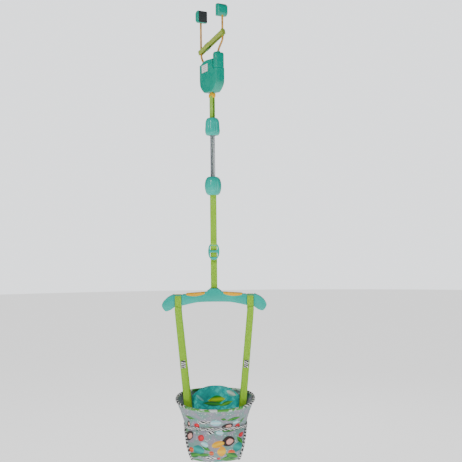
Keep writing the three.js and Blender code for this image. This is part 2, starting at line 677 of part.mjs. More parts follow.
// The pocket in the top front edge that an insert fills, and the insert itself when clear is GAP.
function insertBlock(side, clear) {
  const [a, b] = [INSERT.from + clear, INSERT.to - clear];
  const s = new THREE.Shape();
  s.moveTo(a, topAt(a) - INSERT.height + clear);
  s.quadraticCurveTo((a + b) / 2, topAt((a + b) / 2) - INSERT.height + clear, b, topAt(b) - INSERT.height + clear);
  s.lineTo(b, topAt(b) + 5 - clear * 4);
  s.quadraticCurveTo((a + b) / 2, topAt((a + b) / 2) + 9 - clear * 4, a, topAt(a) + 6 - clear * 4);
  const depth = BAR.depth - 8 + 2 - 2 * clear;
  const g = slab(s, depth, clear ? 2 : 0, 8);
  return side > 0 ? g : flip(g.scale(-1, 1, 1));
}
function barShell(side) {
  const shell = half_shell(barOutline(0), barOutline(BAR.wall), BAR.depth, BAR.wall, BAR_ROUND, side, barScrews);
  const tools = [];
  for (const x of [-BAR.strapX, BAR.strapX]) {
    const [a, b] = [x - CHANNEL.width / 2, x + CHANNEL.width / 2];
    const face = BAR.depth / 2 - CHANNEL.deep;
    tools.push(box(a, b, ...(side < 0 ? [-40, -face] : [face, 40]), -1300, -900));
    tools.push(box(a, b, -40, 40, flatTop - CHANNEL.deep, -900));
  }
  tools.push(insertBlock(1, 0), insertBlock(-1, 0));
  const throat = HUB_PIN + 3 * FIT + WEB + 1;
  const flare = throat + 12 * Math.sin(THREE.MathUtils.degToRad(BAR.swing));
  tools.push(box(-WEB_WIDTH / 2 - 1, WEB_WIDTH / 2 + 1, -flare, flare, hubPinZ - throat, hubTop + 10));
  tools.push(rod("x", HUB_PIN + 0.1, -HUB.half + 4, HUB.half - 4, [0, 0, hubPinZ], 16));
  return geometryOf(tools.map(solid).reduce((a, b) => a.subtract(b), shell));
}
for (const [name, side] of [["front", -1], ["rear", 1]])
  add(seatSide, `bar_shell_${name}`, barShell(side), brightTeal);
barScrews.forEach(([x, z], i) =>
  add(seatSide, `bar_screw_${i + 1}`, screw(x, z, BAR.depth, BAR.wall), steel),
);
add(seatSide, "left_insert", insertBlock(-1, GAP), yellow);
add(seatSide, "right_insert", insertBlock(1, GAP), yellow);
const hubPin = rod("x", HUB_PIN, -HUB.half + 5, HUB.half - 5, [0, 0, hubPinZ], 16);
add(seatSide, "hub_pin", hubPin, steel);

// The seat's edges. An angle of -90 degrees is the front.
const rimHeight = (a) => rimZ + RIM.tilt * Math.sin(a) + RIM.ear * Math.cos(a) ** 2;
const oval = (a, x, y, z) => {
  const power = (v) => Math.sign(v) * Math.abs(v) ** 0.86;
  return V(x * power(Math.cos(a)), y * power(Math.sin(a)), z);
};
const mix = (a, b, t) => a + (b - a) * t;
// The flared band from the waist (v = 0) to the rim (v = 1).
function bandAt(u, v, out = 0) {
  const a = 2 * Math.PI * u;
  const flare = Math.max(0, v) ** 1.3;
  const x = mix(WAIST.halfX, RIM.halfX, flare) + out;
  const y = mix(WAIST.halfY, RIM.halfY, flare) + out;
  return oval(a, x, y, mix(waistZ, rimHeight(a), v));
}
add(seatSide, "seat_band", panel((u, v) => bandAt(u, v), 40, 5, CLOTH, true), print);
// A closed tube round a loop of points.
function loopTube(at, radius, steps, sides) {
  const ring = (u, v) => {
    const e = 1e-3;
    const t = at(u + e).sub(at(u - e)).normalize();
    const out = at(u).clone().setZ(0).normalize();
    const side = t.clone().cross(out).normalize();
    const up = side.clone().cross(t).normalize();
    const angle = 2 * Math.PI * v;
    return at(u).addScaledVector(up, radius * Math.cos(angle)).addScaledVector(side, radius * Math.sin(angle));
  };
  const positions = [];
  const index = [];
  for (let i = 0; i < steps; i++)
    for (let j = 0; j < sides; j++) positions.push(...ring(i / steps, j / sides).toArray());
  const id = (i, j) => (i % steps) * sides + (j % sides);
  for (let i = 0; i < steps; i++)
    for (let j = 0; j < sides; j++) {
      index.push(id(i, j), id(i + 1, j + 1), id(i + 1, j));
      index.push(id(i, j), id(i, j + 1), id(i + 1, j + 1));
    }
  return new THREE.BufferGeometry()
    .setAttribute("position", new THREE.Float32BufferAttribute(positions, 3))
    .setIndex(index);
}
const rimTube = (u) => bandAt(u, 1).add(V(0, 0, BINDING + FIT));
add(seatSide, "rim_binding", loopTube(rimTube, BINDING, 40, 6), zebra);
const tapeOut = CLOTH / 2 + 3;
const tape = (u, v) => oval(2 * Math.PI * u, WAIST.halfX + tapeOut, WAIST.halfY + tapeOut, waistZ + mix(-6, 7, v));
add(seatSide, "waist_tape", panel(tape, 40, 1, 2, true), zebra);

// The sling: down the front, under and up the back, narrowing to the bottom. v = 0 is the front waist.
const crotchZ = waistZ - SLING.drop;
const slingCurve = new THREE.CatmullRomCurve3(
  [
    V(0, -WAIST.halfY, waistZ - 1.5),
    V(0, -WAIST.halfY + 1, waistZ - 40),
    V(0, -WAIST.halfY + 8, waistZ - 92),
    V(0, -WAIST.halfY + 34, crotchZ + 14),
    V(0, -24, crotchZ + 1),
    V(0, 24, crotchZ + 1),
    V(0, WAIST.halfY - 34, crotchZ + 14),
    V(0, WAIST.halfY - 8, waistZ - 92),
    V(0, WAIST.halfY - 1, waistZ - 40),
    V(0, WAIST.halfY, waistZ - 1.5),
  ],
  false,
  "centripetal",
);
function slingAt(u, v) {
  const p = slingCurve.getPoint(Math.min(Math.max(v, 0), 1));
  const low = Math.min(1, (waistZ - p.z) / SLING.drop);
  const halfWidth = mix(SLING.topHalf, SLING.bottomHalf, low ** 1.6);
  const x = halfWidth * (2 * u - 1);
  // the panel wraps the body: its sides lie further back than its middle, and lift at the bottom
  const wrap = Math.sqrt(Math.max(0, 1 - (x / (WAIST.halfX + 3)) ** 2));
  const y = p.y * mix(1, wrap, 1 - low * 0.75);
  return V(x, y, p.z + (low * (x / SLING.bottomHalf) ** 2 * SLING.drop) / 16);
}
add(seatSide, "seat_sling", panel((u, v) => slingAt(u, v), 10, 22, CLOTH, false), print);

// Each leg opening's edge: along the waist, then down the sling's edge and up the other side.
function legEdge(side) {
  const edgeU = side > 0 ? 1 : 0;
  const points = [];
  for (let i = 0; i <= 12; i++) {
    const p = slingAt(edgeU, mix(0.05, 0.95, i / 12));
    points.push(p.add(V(side * (BINDING + FIT + 1.5), 0, 1)));
  }
  const edge = Math.asin(SLING.topHalf / WAIST.halfX);
  for (let i = 1; i < 6; i++) {
    const a = mix(Math.PI / 2 - edge, -(Math.PI / 2 - edge), i / 6);
    const p = oval(a, WAIST.halfX, WAIST.halfY, waistZ - BINDING - 7);
    points.push(V(side * p.x, p.y, p.z));
  }
  return points;
}
for (const [name, side] of [["left", -1], ["right", 1]]) {
  const path = new THREE.CatmullRomCurve3(legEdge(side), true, "centripetal");
  const at = (u) => path.getPointAt((u + 2) % 1);
  add(seatSide, `${name}_leg_binding`, loopTube(at, BINDING - 1, 36, 6), zebra);
}

// The pad inside the back, an arch that stands above the rim.
function padAt(u, v) {
  const x = BACK_PAD.half * (2 * u - 1);
  const arch = 1 - 0.42 * Math.abs(2 * u - 1) ** 2.4;
  const top = rimHeight(Math.PI / 2) + BACK_PAD.above;
  const z = top - BACK_PAD.height + BACK_PAD.height * arch * v;
  const lift = Math.max(0, (z - waistZ) / (top - waistZ));
  const inset = CLOTH / 2 + BACK_PAD.thick / 2 + 3;
  const halfY = mix(WAIST.halfY, RIM.halfY, lift ** 1.3) - inset - 8 * lift;
  const halfX = mix(WAIST.halfX, RIM.halfX, lift ** 1.3) - inset;
  return V(x, halfY * Math.sqrt(1 - (x / halfX) ** 2), z);
}
const padThick = (u, v) => {
  const edge = Math.min(1, 5 * Math.min(u, 1 - u), 5 * Math.min(v, 1 - v));
  return BACK_PAD.thick * mix(0.45, 1, Math.sqrt(Math.max(0, edge)));
};
add(seatSide, "back_pad", panel((u, v) => padAt(1 - u, v), 16, 8, padThick, false), padCloth);

// Each side strap is one length of webbing laid over the bar, with both ends sewn inside the band.
const STRAP_FOOT = { x: 104, y: 45, below: 40 }; // where an end is sewn, and how far below the rim
const strapTop = flatTop - CHANNEL.deep + WEB / 2 + GAP;
const strapStart = strapTop - BAR.thick - 14; // the straps hang straight below this
const footZ = rimZ - STRAP_FOOT.below;
const strapFace = BAR.depth / 2 - CHANNEL.deep + WEB / 2 + GAP;
// Moves a piece made at x = 0 out to its side, leaning in towards the seat below the bar.
function lean(geometry, side) {
  const slope = (BAR.strapX - STRAP_FOOT.x) / (strapStart - footZ);
  const p = geometry.attributes.position;
  for (let i = 0; i < p.count; i++) {
    const below = Math.max(0, strapStart - p.getZ(i));
    p.setX(i, p.getX(i) + side * (BAR.strapX - slope * below));
  }
  return geometry;
}
// The saddle over the bar. It ends at the bar's underside, where the webbing flexes as the seat tips.
function saddle(side) {
  const wall = (sign) => [V(0, sign * strapFace, strapStart), V(0, sign * strapFace, strapTop - 6)];
  const over = [V(0, -strapFace + 6, strapTop), V(0, strapFace - 6, strapTop)];
  return lean(ribbon([...wall(-1), ...over, ...wall(1).reverse()], WEB_WIDTH, WEB), side);
}
const FLEX = 4; // open length at the flex
function fall(side, sign) {
  const at = (t) => V(0, sign * mix(strapFace, STRAP_FOOT.y, t), mix(strapStart - FLEX, footZ, t));
  return lean(ribbon([0, 0.33, 0.67, 1].map(at), WEB_WIDTH, WEB), side);
}
const TAG = { width: 18, height: 30, thick: 0.9, below: 268 };
function tag(side) {
  const at = (drop) => {
    const z = flatTop - TAG.below - drop;
    const y = mix(strapFace, STRAP_FOOT.y, (strapStart - z) / (strapStart - footZ));
    return V(0, -y - WEB / 2 - TAG.thick / 2 - FIT, z);
  };
  const drops = [0, TAG.height / 2, TAG.height];
  return lean(ribbon(drops.map((d) => at(TAG.height / 2 - d)).reverse(), TAG.width, TAG.thick), side);
}
for (const [name, side] of [["left", -1], ["right", 1]]) {
  add(seatSide, `${name}_saddle_strap`, saddle(side), lime);
  add(seatSide, `${name}_front_strap`, fall(side, -1), lime);
  add(seatSide, `${name}_rear_strap`, fall(side, 1), lime);
  add(seatSide, `${name}_tag`, tag(side), white);
}

export default jumper;
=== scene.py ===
"""Looks for a doorway baby jumper: moulded clamp, covered spring, webbing, spreader bar and cloth seat."""

import math

import bmesh
import bpy
from mathutils import Matrix, Vector, noise


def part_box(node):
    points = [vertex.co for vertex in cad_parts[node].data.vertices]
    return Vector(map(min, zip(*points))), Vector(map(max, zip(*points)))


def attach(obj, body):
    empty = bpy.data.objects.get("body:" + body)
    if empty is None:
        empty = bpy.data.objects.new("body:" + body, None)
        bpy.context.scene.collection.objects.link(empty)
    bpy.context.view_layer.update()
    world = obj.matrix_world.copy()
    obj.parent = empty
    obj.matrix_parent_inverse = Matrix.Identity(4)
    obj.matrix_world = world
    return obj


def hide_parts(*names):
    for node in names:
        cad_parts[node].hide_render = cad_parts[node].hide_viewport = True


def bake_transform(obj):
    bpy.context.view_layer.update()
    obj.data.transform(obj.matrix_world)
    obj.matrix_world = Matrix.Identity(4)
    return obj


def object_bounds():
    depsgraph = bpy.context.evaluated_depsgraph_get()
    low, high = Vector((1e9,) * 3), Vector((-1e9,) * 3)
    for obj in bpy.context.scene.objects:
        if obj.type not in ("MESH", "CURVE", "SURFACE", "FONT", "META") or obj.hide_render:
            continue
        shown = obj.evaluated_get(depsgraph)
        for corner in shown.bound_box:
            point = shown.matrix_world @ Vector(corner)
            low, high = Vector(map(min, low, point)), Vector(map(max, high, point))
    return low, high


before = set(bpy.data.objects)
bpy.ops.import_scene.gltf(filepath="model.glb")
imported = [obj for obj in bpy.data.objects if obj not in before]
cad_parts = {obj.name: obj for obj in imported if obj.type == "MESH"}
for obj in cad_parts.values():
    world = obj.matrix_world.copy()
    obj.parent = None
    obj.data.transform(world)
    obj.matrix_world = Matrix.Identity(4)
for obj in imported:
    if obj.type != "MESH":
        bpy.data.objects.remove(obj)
cad_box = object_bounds()

MM = 0.001
UP = Vector((0, 0, 1))
ACROSS = Vector((1, 0, 0))


# ---------------------------------------------------------------- camera, lights and stage
CAMERA_DISTANCE = 3.5
CAMERA_SIDE = 0.068  # right of the hanging line
CAMERA_RAISE = 0.012  # above the jumper's middle
CAMERA_ROLL = 0.6  # degrees
LENS, SENSOR = 70, 36  # millimetres

LIGHTS = {  # place, what it is aimed at, size and power
    "key": ((-1.7, -2.4, 0.9), (0, 0, -0.9), (0.7, 2.2), 52),
    "fill": ((2.2, -2.0, -0.6), (0, 0, -0.9), (0.7, 2.4), 16),
    "rim": ((0.6, 2.2, 0.6), (0, 0, -0.9), (1.6, 1.6), 18),
    "low": ((-0.4, -2.2, -2.0), (0, 0, -1.3), (1.6, 0.8), 7),
}
ROOM_LIGHT, ROOM_SEEN = 0.22, 1.9  # the room's strength on the object, and as the camera sees it


def link(name, data):
    """A new object in the scene."""
    obj = bpy.data.objects.new(name, data)
    bpy.context.scene.collection.objects.link(obj)
    return obj


def make_camera():
    """A long lens at the height of the jumper's middle, square to the bar, rolled a touch."""
    low, high = cad_box
    camera = bpy.data.cameras.new("camera")
    camera.lens, camera.sensor_width = LENS, SENSOR
    obj = link("camera", camera)
    obj.location = (CAMERA_SIDE, -CAMERA_DISTANCE, (low[2] + high[2]) / 2 + CAMERA_RAISE)
    obj.rotation_euler = (math.radians(90), math.radians(CAMERA_ROLL), 0)
    bpy.context.scene.camera = obj


def area_light(name, place, aim, size, power):
    light = bpy.data.lights.new(name, "AREA")
    light.shape = "RECTANGLE"
    light.size, light.size_y = size
    light.energy = power
    obj = link(name, light)
    obj.location = place
    obj.rotation_euler = (Vector(aim) - Vector(place)).to_track_quat("-Z", "Y").to_euler()


def make_lights():
    for name, settings in LIGHTS.items():
        area_light(name, *settings)
    world = bpy.data.worlds.new("studio")
    bpy.context.scene.world = world
    world.use_nodes = True
    tree = world.node_tree
    back = tree.nodes["Background"]
    back.inputs["Color"].default_value = (0.95, 0.97, 1, 1)
    seen = tree.nodes.new("ShaderNodeLightPath").outputs["Is Camera Ray"]
    tree.links.new(ramp(tree, seen, 0.0, 1.0, (ROOM_LIGHT, ROOM_SEEN)), back.inputs["Strength"])


# ---------------------------------------------------------------- node helpers
def group(name, inputs, outputs):
    """An empty shader group with its sockets, given as (name, kind, default) and (name, kind)."""
    tree = bpy.data.node_groups.new(name, "ShaderNodeTree")
    for label, kind, value in inputs:
        socket = tree.interface.new_socket(label, in_out="INPUT", socket_type="NodeSocket" + kind)
        if value is not None:
            socket.default_value = value
    for label, kind in outputs:
        tree.interface.new_socket(label, in_out="OUTPUT", socket_type="NodeSocket" + kind)
    return tree, tree.nodes.new("NodeGroupInput"), tree.nodes.new("NodeGroupOutput")


def fill(tree, socket, value):
    """Links a socket to another socket, or sets it to a plain value."""
    if isinstance(value, bpy.types.NodeSocket):
        tree.links.new(value, socket)
    else:
        socket.default_value = value


def maths(tree, operation, *values):
    node = tree.nodes.new("ShaderNodeMath")
    node.operation = operation
    for i, value in enumerate(values):
        fill(tree, node.inputs[i], value)
    return node.outputs[0]


def times(tree, a, b):
    return maths(tree, "MULTIPLY", a, b)


def wave(tree, value, pitch):
    """A sine that repeats once in each pitch of the value."""
    return maths(tree, "SINE", times(tree, value, 2 * math.pi / pitch))


def vectors(tree, operation, *values):
    node = tree.nodes.new("ShaderNodeVectorMath")
    node.operation = operation
    for i, value in enumerate(values):
        fill(tree, node.inputs[i], value)
    return node.outputs["Vector"]


def scaled(tree, vector, by):
    out = vectors(tree, "SCALE", vector)
    fill(tree, out.node.inputs["Scale"], by)
    return out


def rotated(tree, vector, angle):
    """A vector turned about Z."""
    node = tree.nodes.new("ShaderNodeVectorRotate")
    node.rotation_type = "Z_AXIS"
    fill(tree, node.inputs["Vector"], vector)
    fill(tree, node.inputs["Angle"], angle)
    return node.outputs[0]


def mix(tree, factor, a, b):
    node = tree.nodes.new("ShaderNodeMix")
    node.data_type = "RGBA"
    fill(tree, node.inputs["Factor"], factor)
    fill(tree, node.inputs["A"], a)
    fill(tree, node.inputs["B"], b)
    return node.outputs["Result"]


def ramp(tree, value, low, high, to=(0.0, 1.0)):
    """Eases from one value to another as the input goes from low to high."""
    node = tree.nodes.new("ShaderNodeMapRange")
    node.interpolation_type = "SMOOTHSTEP"
    settings = {"Value": value, "From Min": low, "From Max": high, "To Min": to[0], "To Max": to[1]}
    for label, item in settings.items():
        fill(tree, node.inputs[label], item)
    return node.outputs["Result"]


def noise_node(tree, vector, scale, detail=2.0, roughness=0.5):
    node = tree.nodes.new("ShaderNodeTexNoise")
    fill(tree, node.inputs["Vector"], vector)
    node.inputs["Scale"].default_value = scale
    node.inputs["Detail"].default_value = detail
    node.inputs["Roughness"].default_value = roughness
    return node.outputs["Fac"]


def parts_of(tree, vector):
    node = tree.nodes.new("ShaderNodeSeparateXYZ")
    fill(tree, node.inputs[0], vector)
    return node.outputs


def vector_of(tree, x, y, z):
    node = tree.nodes.new("ShaderNodeCombineXYZ")
    for i, value in enumerate((x, y, z)):
        fill(tree, node.inputs[i], value)
    return node.outputs[0]


def rgb(r, g, b):
    """A colour written as 0 to 255 display values."""

    def linear(c):
        c /= 255
        return c / 12.92 if c < 0.04045 else ((c + 0.055) / 1.055) ** 2.4

    return (linear(r), linear(g), linear(b), 1.0)


def material(name, roughness=0.5, metallic=0.0, **sockets):
    """A Principled material. Returns it with its tree, shader and texture coordinates."""
    made = bpy.data.materials.new(name)
    made.use_nodes = True
    tree = made.node_tree
    shader = tree.nodes["Principled BSDF"]
    shader.inputs["Roughness"].default_value = roughness
    shader.inputs["Metallic"].default_value = metallic
    for label, value in sockets.items():
        shader.inputs[label.replace("_", " ")].default_value = value
    coords = tree.nodes.new("ShaderNodeTexCoord")
    return made, tree, shader, coords


def use(tree, group_tree, **values):
    """Places a group with its own values. Names are the sockets' names, underscores for spaces."""
    node = tree.nodes.new("ShaderNodeGroup")
    node.node_tree = group_tree
    for label, value in values.items():
        fill(tree, node.inputs[label.replace("_", " ")], value)
    return node.outputs


def bump(tree, shader, height, strength, distance):
    node = tree.nodes.new("ShaderNodeBump")
    node.inputs["Strength"].default_value = strength
    node.inputs["Distance"].default_value = distance
    tree.links.new(height, node.inputs["Height"])
    tree.links.new(node.outputs["Normal"], shader.inputs["Normal"])


def paint(tree, shader, colour, roughness):
    tree.links.new(colour, shader.inputs["Base Color"])
    tree.links.new(roughness, shader.inputs["Roughness"])


# ---------------------------------------------------------------- shared effects
def moulded_effect():
    """Injection-moulded plastic: a slight mottle, handling scuffs and a fine surface grain."""
    tree, into, out = group(
        "moulded skin",
        [("Vector", "Vector", None), ("Colour", "Color", (0.5, 0.5, 0.5, 1)), ("Gloss", "Float", 0.3)],
        [("Colour", "Color"), ("Roughness", "Float"), ("Height", "Float")],
    )
    vector, plain = into.outputs["Vector"], into.outputs["Colour"]
    cloud = noise_node(tree, vector, 22, 3)
    dark = mix(tree, 0.12, plain, (0, 0.02, 0.02, 1))
    shade = mix(tree, ramp(tree, cloud, 0.35, 0.7), dark, plain)
    stretched = vectors(tree, "MULTIPLY", vector, (1, 1, 5))
    scuffs = ramp(tree, noise_node(tree, stretched, 90, 4, 0.7), 0.6, 0.78)
    tree.links.new(mix(tree, times(tree, scuffs, 0.05), shade, (0.8, 0.85, 0.85, 1)), out.inputs[0])
    rough = maths(tree, "MULTIPLY_ADD", scuffs, 0.18, into.outputs["Gloss"])
    tree.links.new(maths(tree, "MULTIPLY_ADD", cloud, 0.08, rough), out.inputs[1])
    grain = noise_node(tree, vector, 900, 2)
    tree.links.new(maths(tree, "MULTIPLY_ADD", grain, 0.3, scuffs), out.inputs[2])
    return tree


def weave_effect():
    """Plain weave on a cloth's own UV, which is in metres. Pitch is threads per metre."""
    tree, into, out = group(
        "plain weave",
        [("Vector", "Vector", None), ("Pitch", "Float", 1500.0)],
        [("Height", "Float"), ("Shade", "Float")],
    )
    x, y, _ = parts_of(tree, scaled(tree, into.outputs["Vector"], into.outputs["Pitch"]))
    across, along = (maths(tree, "ABSOLUTE", wave(tree, way, 2)) for way in (x, y))
    cell = maths(tree, "ADD", maths(tree, "FLOOR", x), maths(tree, "FLOOR", y))
    pick = maths(tree, "GREATER_THAN", maths(tree, "FRACT", times(tree, cell, 0.5)), 0.25)
    weft = times(tree, along, maths(tree, "SUBTRACT", 1.0, pick))
    height = maths(tree, "ADD", times(tree, across, pick), weft)
    tree.links.new(height, out.inputs[0])
    tree.links.new(ramp(tree, height, 0.1, 0.9, (0.72, 1.0)), out.inputs[1])
    return tree


def spot_effect():
    """One printed shape: an oval, or with Point above zero a leaf, turned and sized, as a mask."""
    tree, into, out = group(
        "printed spot",
        [
            ("Vector", "Vector", None),
            ("Centre", "Vector", None),
            ("Size", "Vector", None),
            ("Turn", "Float", 0.0),
            ("Point", "Float", 0.0),
        ],
        [("Mask", "Float"), ("Across", "Float")],
    )
    moved = vectors(tree, "SUBTRACT", into.outputs["Vector"], into.outputs["Centre"])
    turned_to = rotated(tree, moved, into.outputs["Turn"])
    x, y, _ = parts_of(tree, vectors(tree, "DIVIDE", turned_to, into.outputs["Size"]))
    x, y = maths(tree, "ABSOLUTE", x), maths(tree, "ABSOLUTE", y)
    square = times(tree, x, x)
    width = maths(tree, "SUBTRACT", 1.0, times(tree, square, into.outputs["Point"]))
    stretched = maths(tree, "DIVIDE", y, maths(tree, "MAXIMUM", width, 0.02))
    far = maths(tree, "SQRT", maths(tree, "ADD", square, times(tree, stretched, stretched)))
    tree.links.new(ramp(tree, far, 1.06, 0.94), out.inputs[0])
    tree.links.new(y, out.inputs[1])
    return tree


EFFECTS = {"moulded": moulded_effect(), "weave": weave_effect(), "spot": spot_effect()}


# ---------------------------------------------------------------- finishes
WEB, WEB_THICK = 0.025, 0.0018  # the main webbing
NARROW_WEB, NARROW_THICK = 0.019, 0.0016  # the safety strap
BLACK = (0, 0, 0, 1)


def plastic(name, colour, gloss, coat, strength=0.12):
    sockets = {"Coat_Weight": coat, "Coat_Roughness": 0.08, "Specular_IOR_Level": 0.3}
    made, tree, shader, coords = material(name, gloss, **sockets)
    out = use(tree, EFFECTS["moulded"], Vector=coords.outputs["Object"], Colour=colour, Gloss=gloss)
    paint(tree, shader, out["Colour"], out["Roughness"])
    bump(tree, shader, out["Height"], strength, 0.0003)
    return made


def painted_steel():
    """Powder coat over bent rod, worn a little where hands hold it."""
    made, tree, shader, coords = material("arm coat", 0.35, Coat_Weight=0.2, Coat_Roughness=0.2)
    place = coords.outputs["Object"]
    cloud = noise_node(tree, place, 60, 4, 0.6)
    colour = mix(tree, ramp(tree, cloud, 0.35, 0.7), rgb(168, 116, 26), rgb(214, 160, 50))
    chips = ramp(tree, noise_node(tree, place, 210, 3, 0.7), 0.7, 0.74)
    worn = mix(tree, chips, colour, rgb(96, 78, 48))
    paint(tree, shader, worn, maths(tree, "MULTIPLY_ADD", cloud, 0.25, 0.22))
    bump(tree, shader, noise_node(tree, place, 700, 2), 0.2, 0.0003)
    return made


def bright_steel():
    made, tree, shader, coords = material("bright wire", 0.24, 1.0)
    drawn = vectors(tree, "MULTIPLY", coords.outputs["Object"], (1, 1, 6))
    streak = noise_node(tree, drawn, 160, 3, 0.6)
    colour = mix(tree, streak, rgb(104, 112, 118), rgb(178, 186, 190))
    paint(tree, shader, colour, ramp(tree, streak, 0.3, 0.7, (0.16, 0.38)))
    bump(tree, shader, streak, 0.08, 0.0002)
    return made


def ribbed_rubber():
    made, tree, shader, coords = material("grip rubber", 0.8)
    _, _, z = parts_of(tree, coords.outputs["Object"])
    cloud = noise_node(tree, coords.outputs["Object"], 300, 3)
    colour = mix(tree, cloud, rgb(28, 32, 33), rgb(52, 58, 60))
    paint(tree, shader, colour, ramp(tree, cloud, 0.3, 0.7, (0.7, 0.92)))
    bump(tree, shader, wave(tree, z, 0.004), 0.6, 0.0006)
    return made


def webbing(name, colour, dark, width):
    """Woven tape: chevron ribs along it, painted shade between them and darker edges."""
    made, tree, shader, coords = material(name, 0.82, Sheen_Weight=0.25, Sheen_Roughness=0.5)
    x, y, _ = parts_of(tree, coords.outputs["UV"])
    across = maths(tree, "ABSOLUTE", maths(tree, "SUBTRACT", x, width / 2))
    rib = wave(tree, maths(tree, "ADD", y, times(tree, across, 0.8)), 0.0019)
    height = maths(tree, "MULTIPLY_ADD", wave(tree, x, 0.0021), 0.6, rib)
    edge = ramp(tree, across, width / 2 - 0.0026, width / 2 - 0.0016)
    cloud = noise_node(tree, coords.outputs["UV"], 130, 4, 0.65)
    base = mix(tree, ramp(tree, cloud, 0.3, 0.7, (0.72, 1.0)), dark, colour)
    # Painted shade: the tape is darkened where its ribs run low, in the grooves between them.
    threads = mix(tree, ramp(tree, height, -1.3, 0.9), mix(tree, 0.4, base, dark), base)
    # Both edges are darkened over their last few millimetres and lowered in the bump.
    edged = mix(tree, times(tree, edge, 0.35), threads, dark)
    paint(tree, shader, edged, ramp(tree, height, -1, 1, (0.95, 0.7)))
    bump(tree, shader, maths(tree, "SUBTRACT", height, edge), 0.5, 0.0005)
    return made


def thread(name, colour):
    made, tree, shader, coords = material(name, 0.6, Sheen_Weight=0.3)
    fuzz = noise_node(tree, coords.outputs["Object"], 1400, 2)
    tree.links.new(mix(tree, fuzz, colour, (0.9, 0.9, 0.85, 1)), shader.inputs["Base Color"])
    bump(tree, shader, fuzz, 0.4, 0.0003)
    return made


def zebra_at(tree, vector, pitch):
    """Irregular black and white stripes across a tape's length, which is the vector's Y."""
    wander = noise_node(tree, vector, 55, 2)
    x, y, _ = parts_of(tree, vector)
    phase = maths(tree, "MULTIPLY_ADD", wander, 0.020, maths(tree, "MULTIPLY_ADD", x, 0.5, y))
    return ramp(tree, wave(tree, phase, pitch), 0.1, 0.34)


def woven_surface(
    tree, shader, vector, colour, pitch, shade=0.3, rough=(0.95, 0.8), crease=None, depth=0.0008
):
    """A cloth's colour, roughness and threads. A crease is a height and how much of it is added."""
    woven = use(tree, EFFECTS["weave"], Vector=vector, Pitch=pitch)
    shaded = mix(tree, woven["Shade"], mix(tree, shade, colour, BLACK), colour)
    paint(tree, shader, shaded, ramp(tree, woven["Height"], 0.0, 1.0, rough))
    height = woven["Height"]
    if crease:
        height = maths(tree, "MULTIPLY_ADD", *crease, height)
    bump(tree, shader, height, 0.35, depth)


def spot_at(tree, vector, centre, half_w, half_h, turn, point):
    """A printed spot about a centre in metres. Half sizes are in millimetres, the turn in degrees."""
    return use(
        tree,
        EFFECTS["spot"],
        Vector=vector,
        Centre=(*centre, 0),
        Size=(half_w * MM, half_h * MM, 1),
        Turn=math.radians(turn),
        Point=point,
    )


def striped_tape(name, pitch, side_only=False):
    """Bias tape printed in black and white stripes. Some shows the stripes only out at the sides."""
    made, tree, shader, coords = material(name, 0.85, Sheen_Weight=0.2)
    stripes = zebra_at(tree, coords.outputs["UV"], pitch)
    colour = mix(tree, stripes, rgb(24, 24, 26), rgb(236, 238, 236))
    if side_only:
        x, _, _ = parts_of(tree, coords.outputs["Object"])
        far = ramp(tree, maths(tree, "ABSOLUTE", x), 0.105, 0.12)
        cloud = noise_node(tree, coords.outputs["Object"], 60, 2)
        plain = mix(tree, ramp(tree, cloud, 0.45, 0.6), rgb(74, 160, 60), rgb(206, 216, 214))
        colour = mix(tree, far, plain, colour)
    woven_surface(tree, shader, coords.outputs["UV"], colour, 1400.0, 0.35, (0.92, 0.78), depth=0.0004)
    return made


# Printed shapes in millimetres on the cloth: across from the front's middle, up from the waist.
# Each is (kind, x, y, half width, half height, turn in degrees).
PRINT = [
    ("bush", -96, 54, 30, 9, 4),
    ("bush", 62, 52, 32, 9, -6),
    ("bush", 24, 56, 12, 7, 20),
    ("blob", -112, 20, 11, 17, 28),
    ("ball", -67, 17, 12, 12, 0),
    ("stripe", -35, 37, 24, 9, -12),
    ("sky", 2, 34, 15, 15, 0),
    ("blob", 42, 14, 22, 15, -18),
    ("ball", 88, 9, 12, 13, 0),
    ("bush", -72, -2, 22, 5, 6),
    ("bush", 52, -6, 34, 6, -4),
    ("blob", -98, -32, 13, 22, 24),
    ("ball", -54, -34, 12, 13, 0),
    ("stripe", -17, -12, 16, 6, -8),
    ("sky", 18, -14, 14, 9, 0),
    ("blob", 50, -48, 24, 20, -20),
    ("ball", 97, -30, 8, 9, 30),
    ("sun", 10, -58, 25, 13, -14),
    ("sun", 24, -88, 16, 22, 6),
    ("teal", -64, -84, 22, 20, 10),
    ("teal", 84, -76, 16, 22, 30),
    ("bud", -92, -88, 9, 11, 0),
    ("bud", -15, -94, 9, 9, 0),
    ("bud", 60, -94, 13, 11, 10),
    ("bush", -82, -112, 30, 14, -24),
    ("bush", 62, -112, 30, 16, 30),
    ("stripe", -18, -118, 24, 11, -4),
    ("stripe", -22, -146, 18, 6, 0),
    ("bush", -66, -140, 26, 9, 0),
    ("bush", 58, -138, 32, 11, 8),
    ("teal", 8, -140, 16, 8, 0),
    ("bush", -34, -74, 22, 7, 30),
    ("bush", -44, -104, 26, 9, -12),
    ("bush", 92, -50, 20, 7, 60),
    ("bush", 40, -122, 26, 9, -24),
    ("bush", -8, 6, 18, 5, 12),
    ("bush", 108, 34, 20, 8, -40),
    ("bush", -118, -6, 22, 7, 50),
    ("sky", -40, -60, 14, 9, 20),
    ("sky", 76, 30, 14, 8, 0),
    ("ball", 12, -122, 7, 7, 0),
    ("bush", -60, -168, 34, 12, 12),
    ("bush", 36, -172, 36, 12, -8),
    ("ball", -4, -182, 12, 12, 0),
]
PRINT_REPEAT = 290 * MM
CORE_SHARE = 0.55  # of a blob or ball
SLING_HALF = 200 * MM  # from the front waist to the middle of the seat's underside


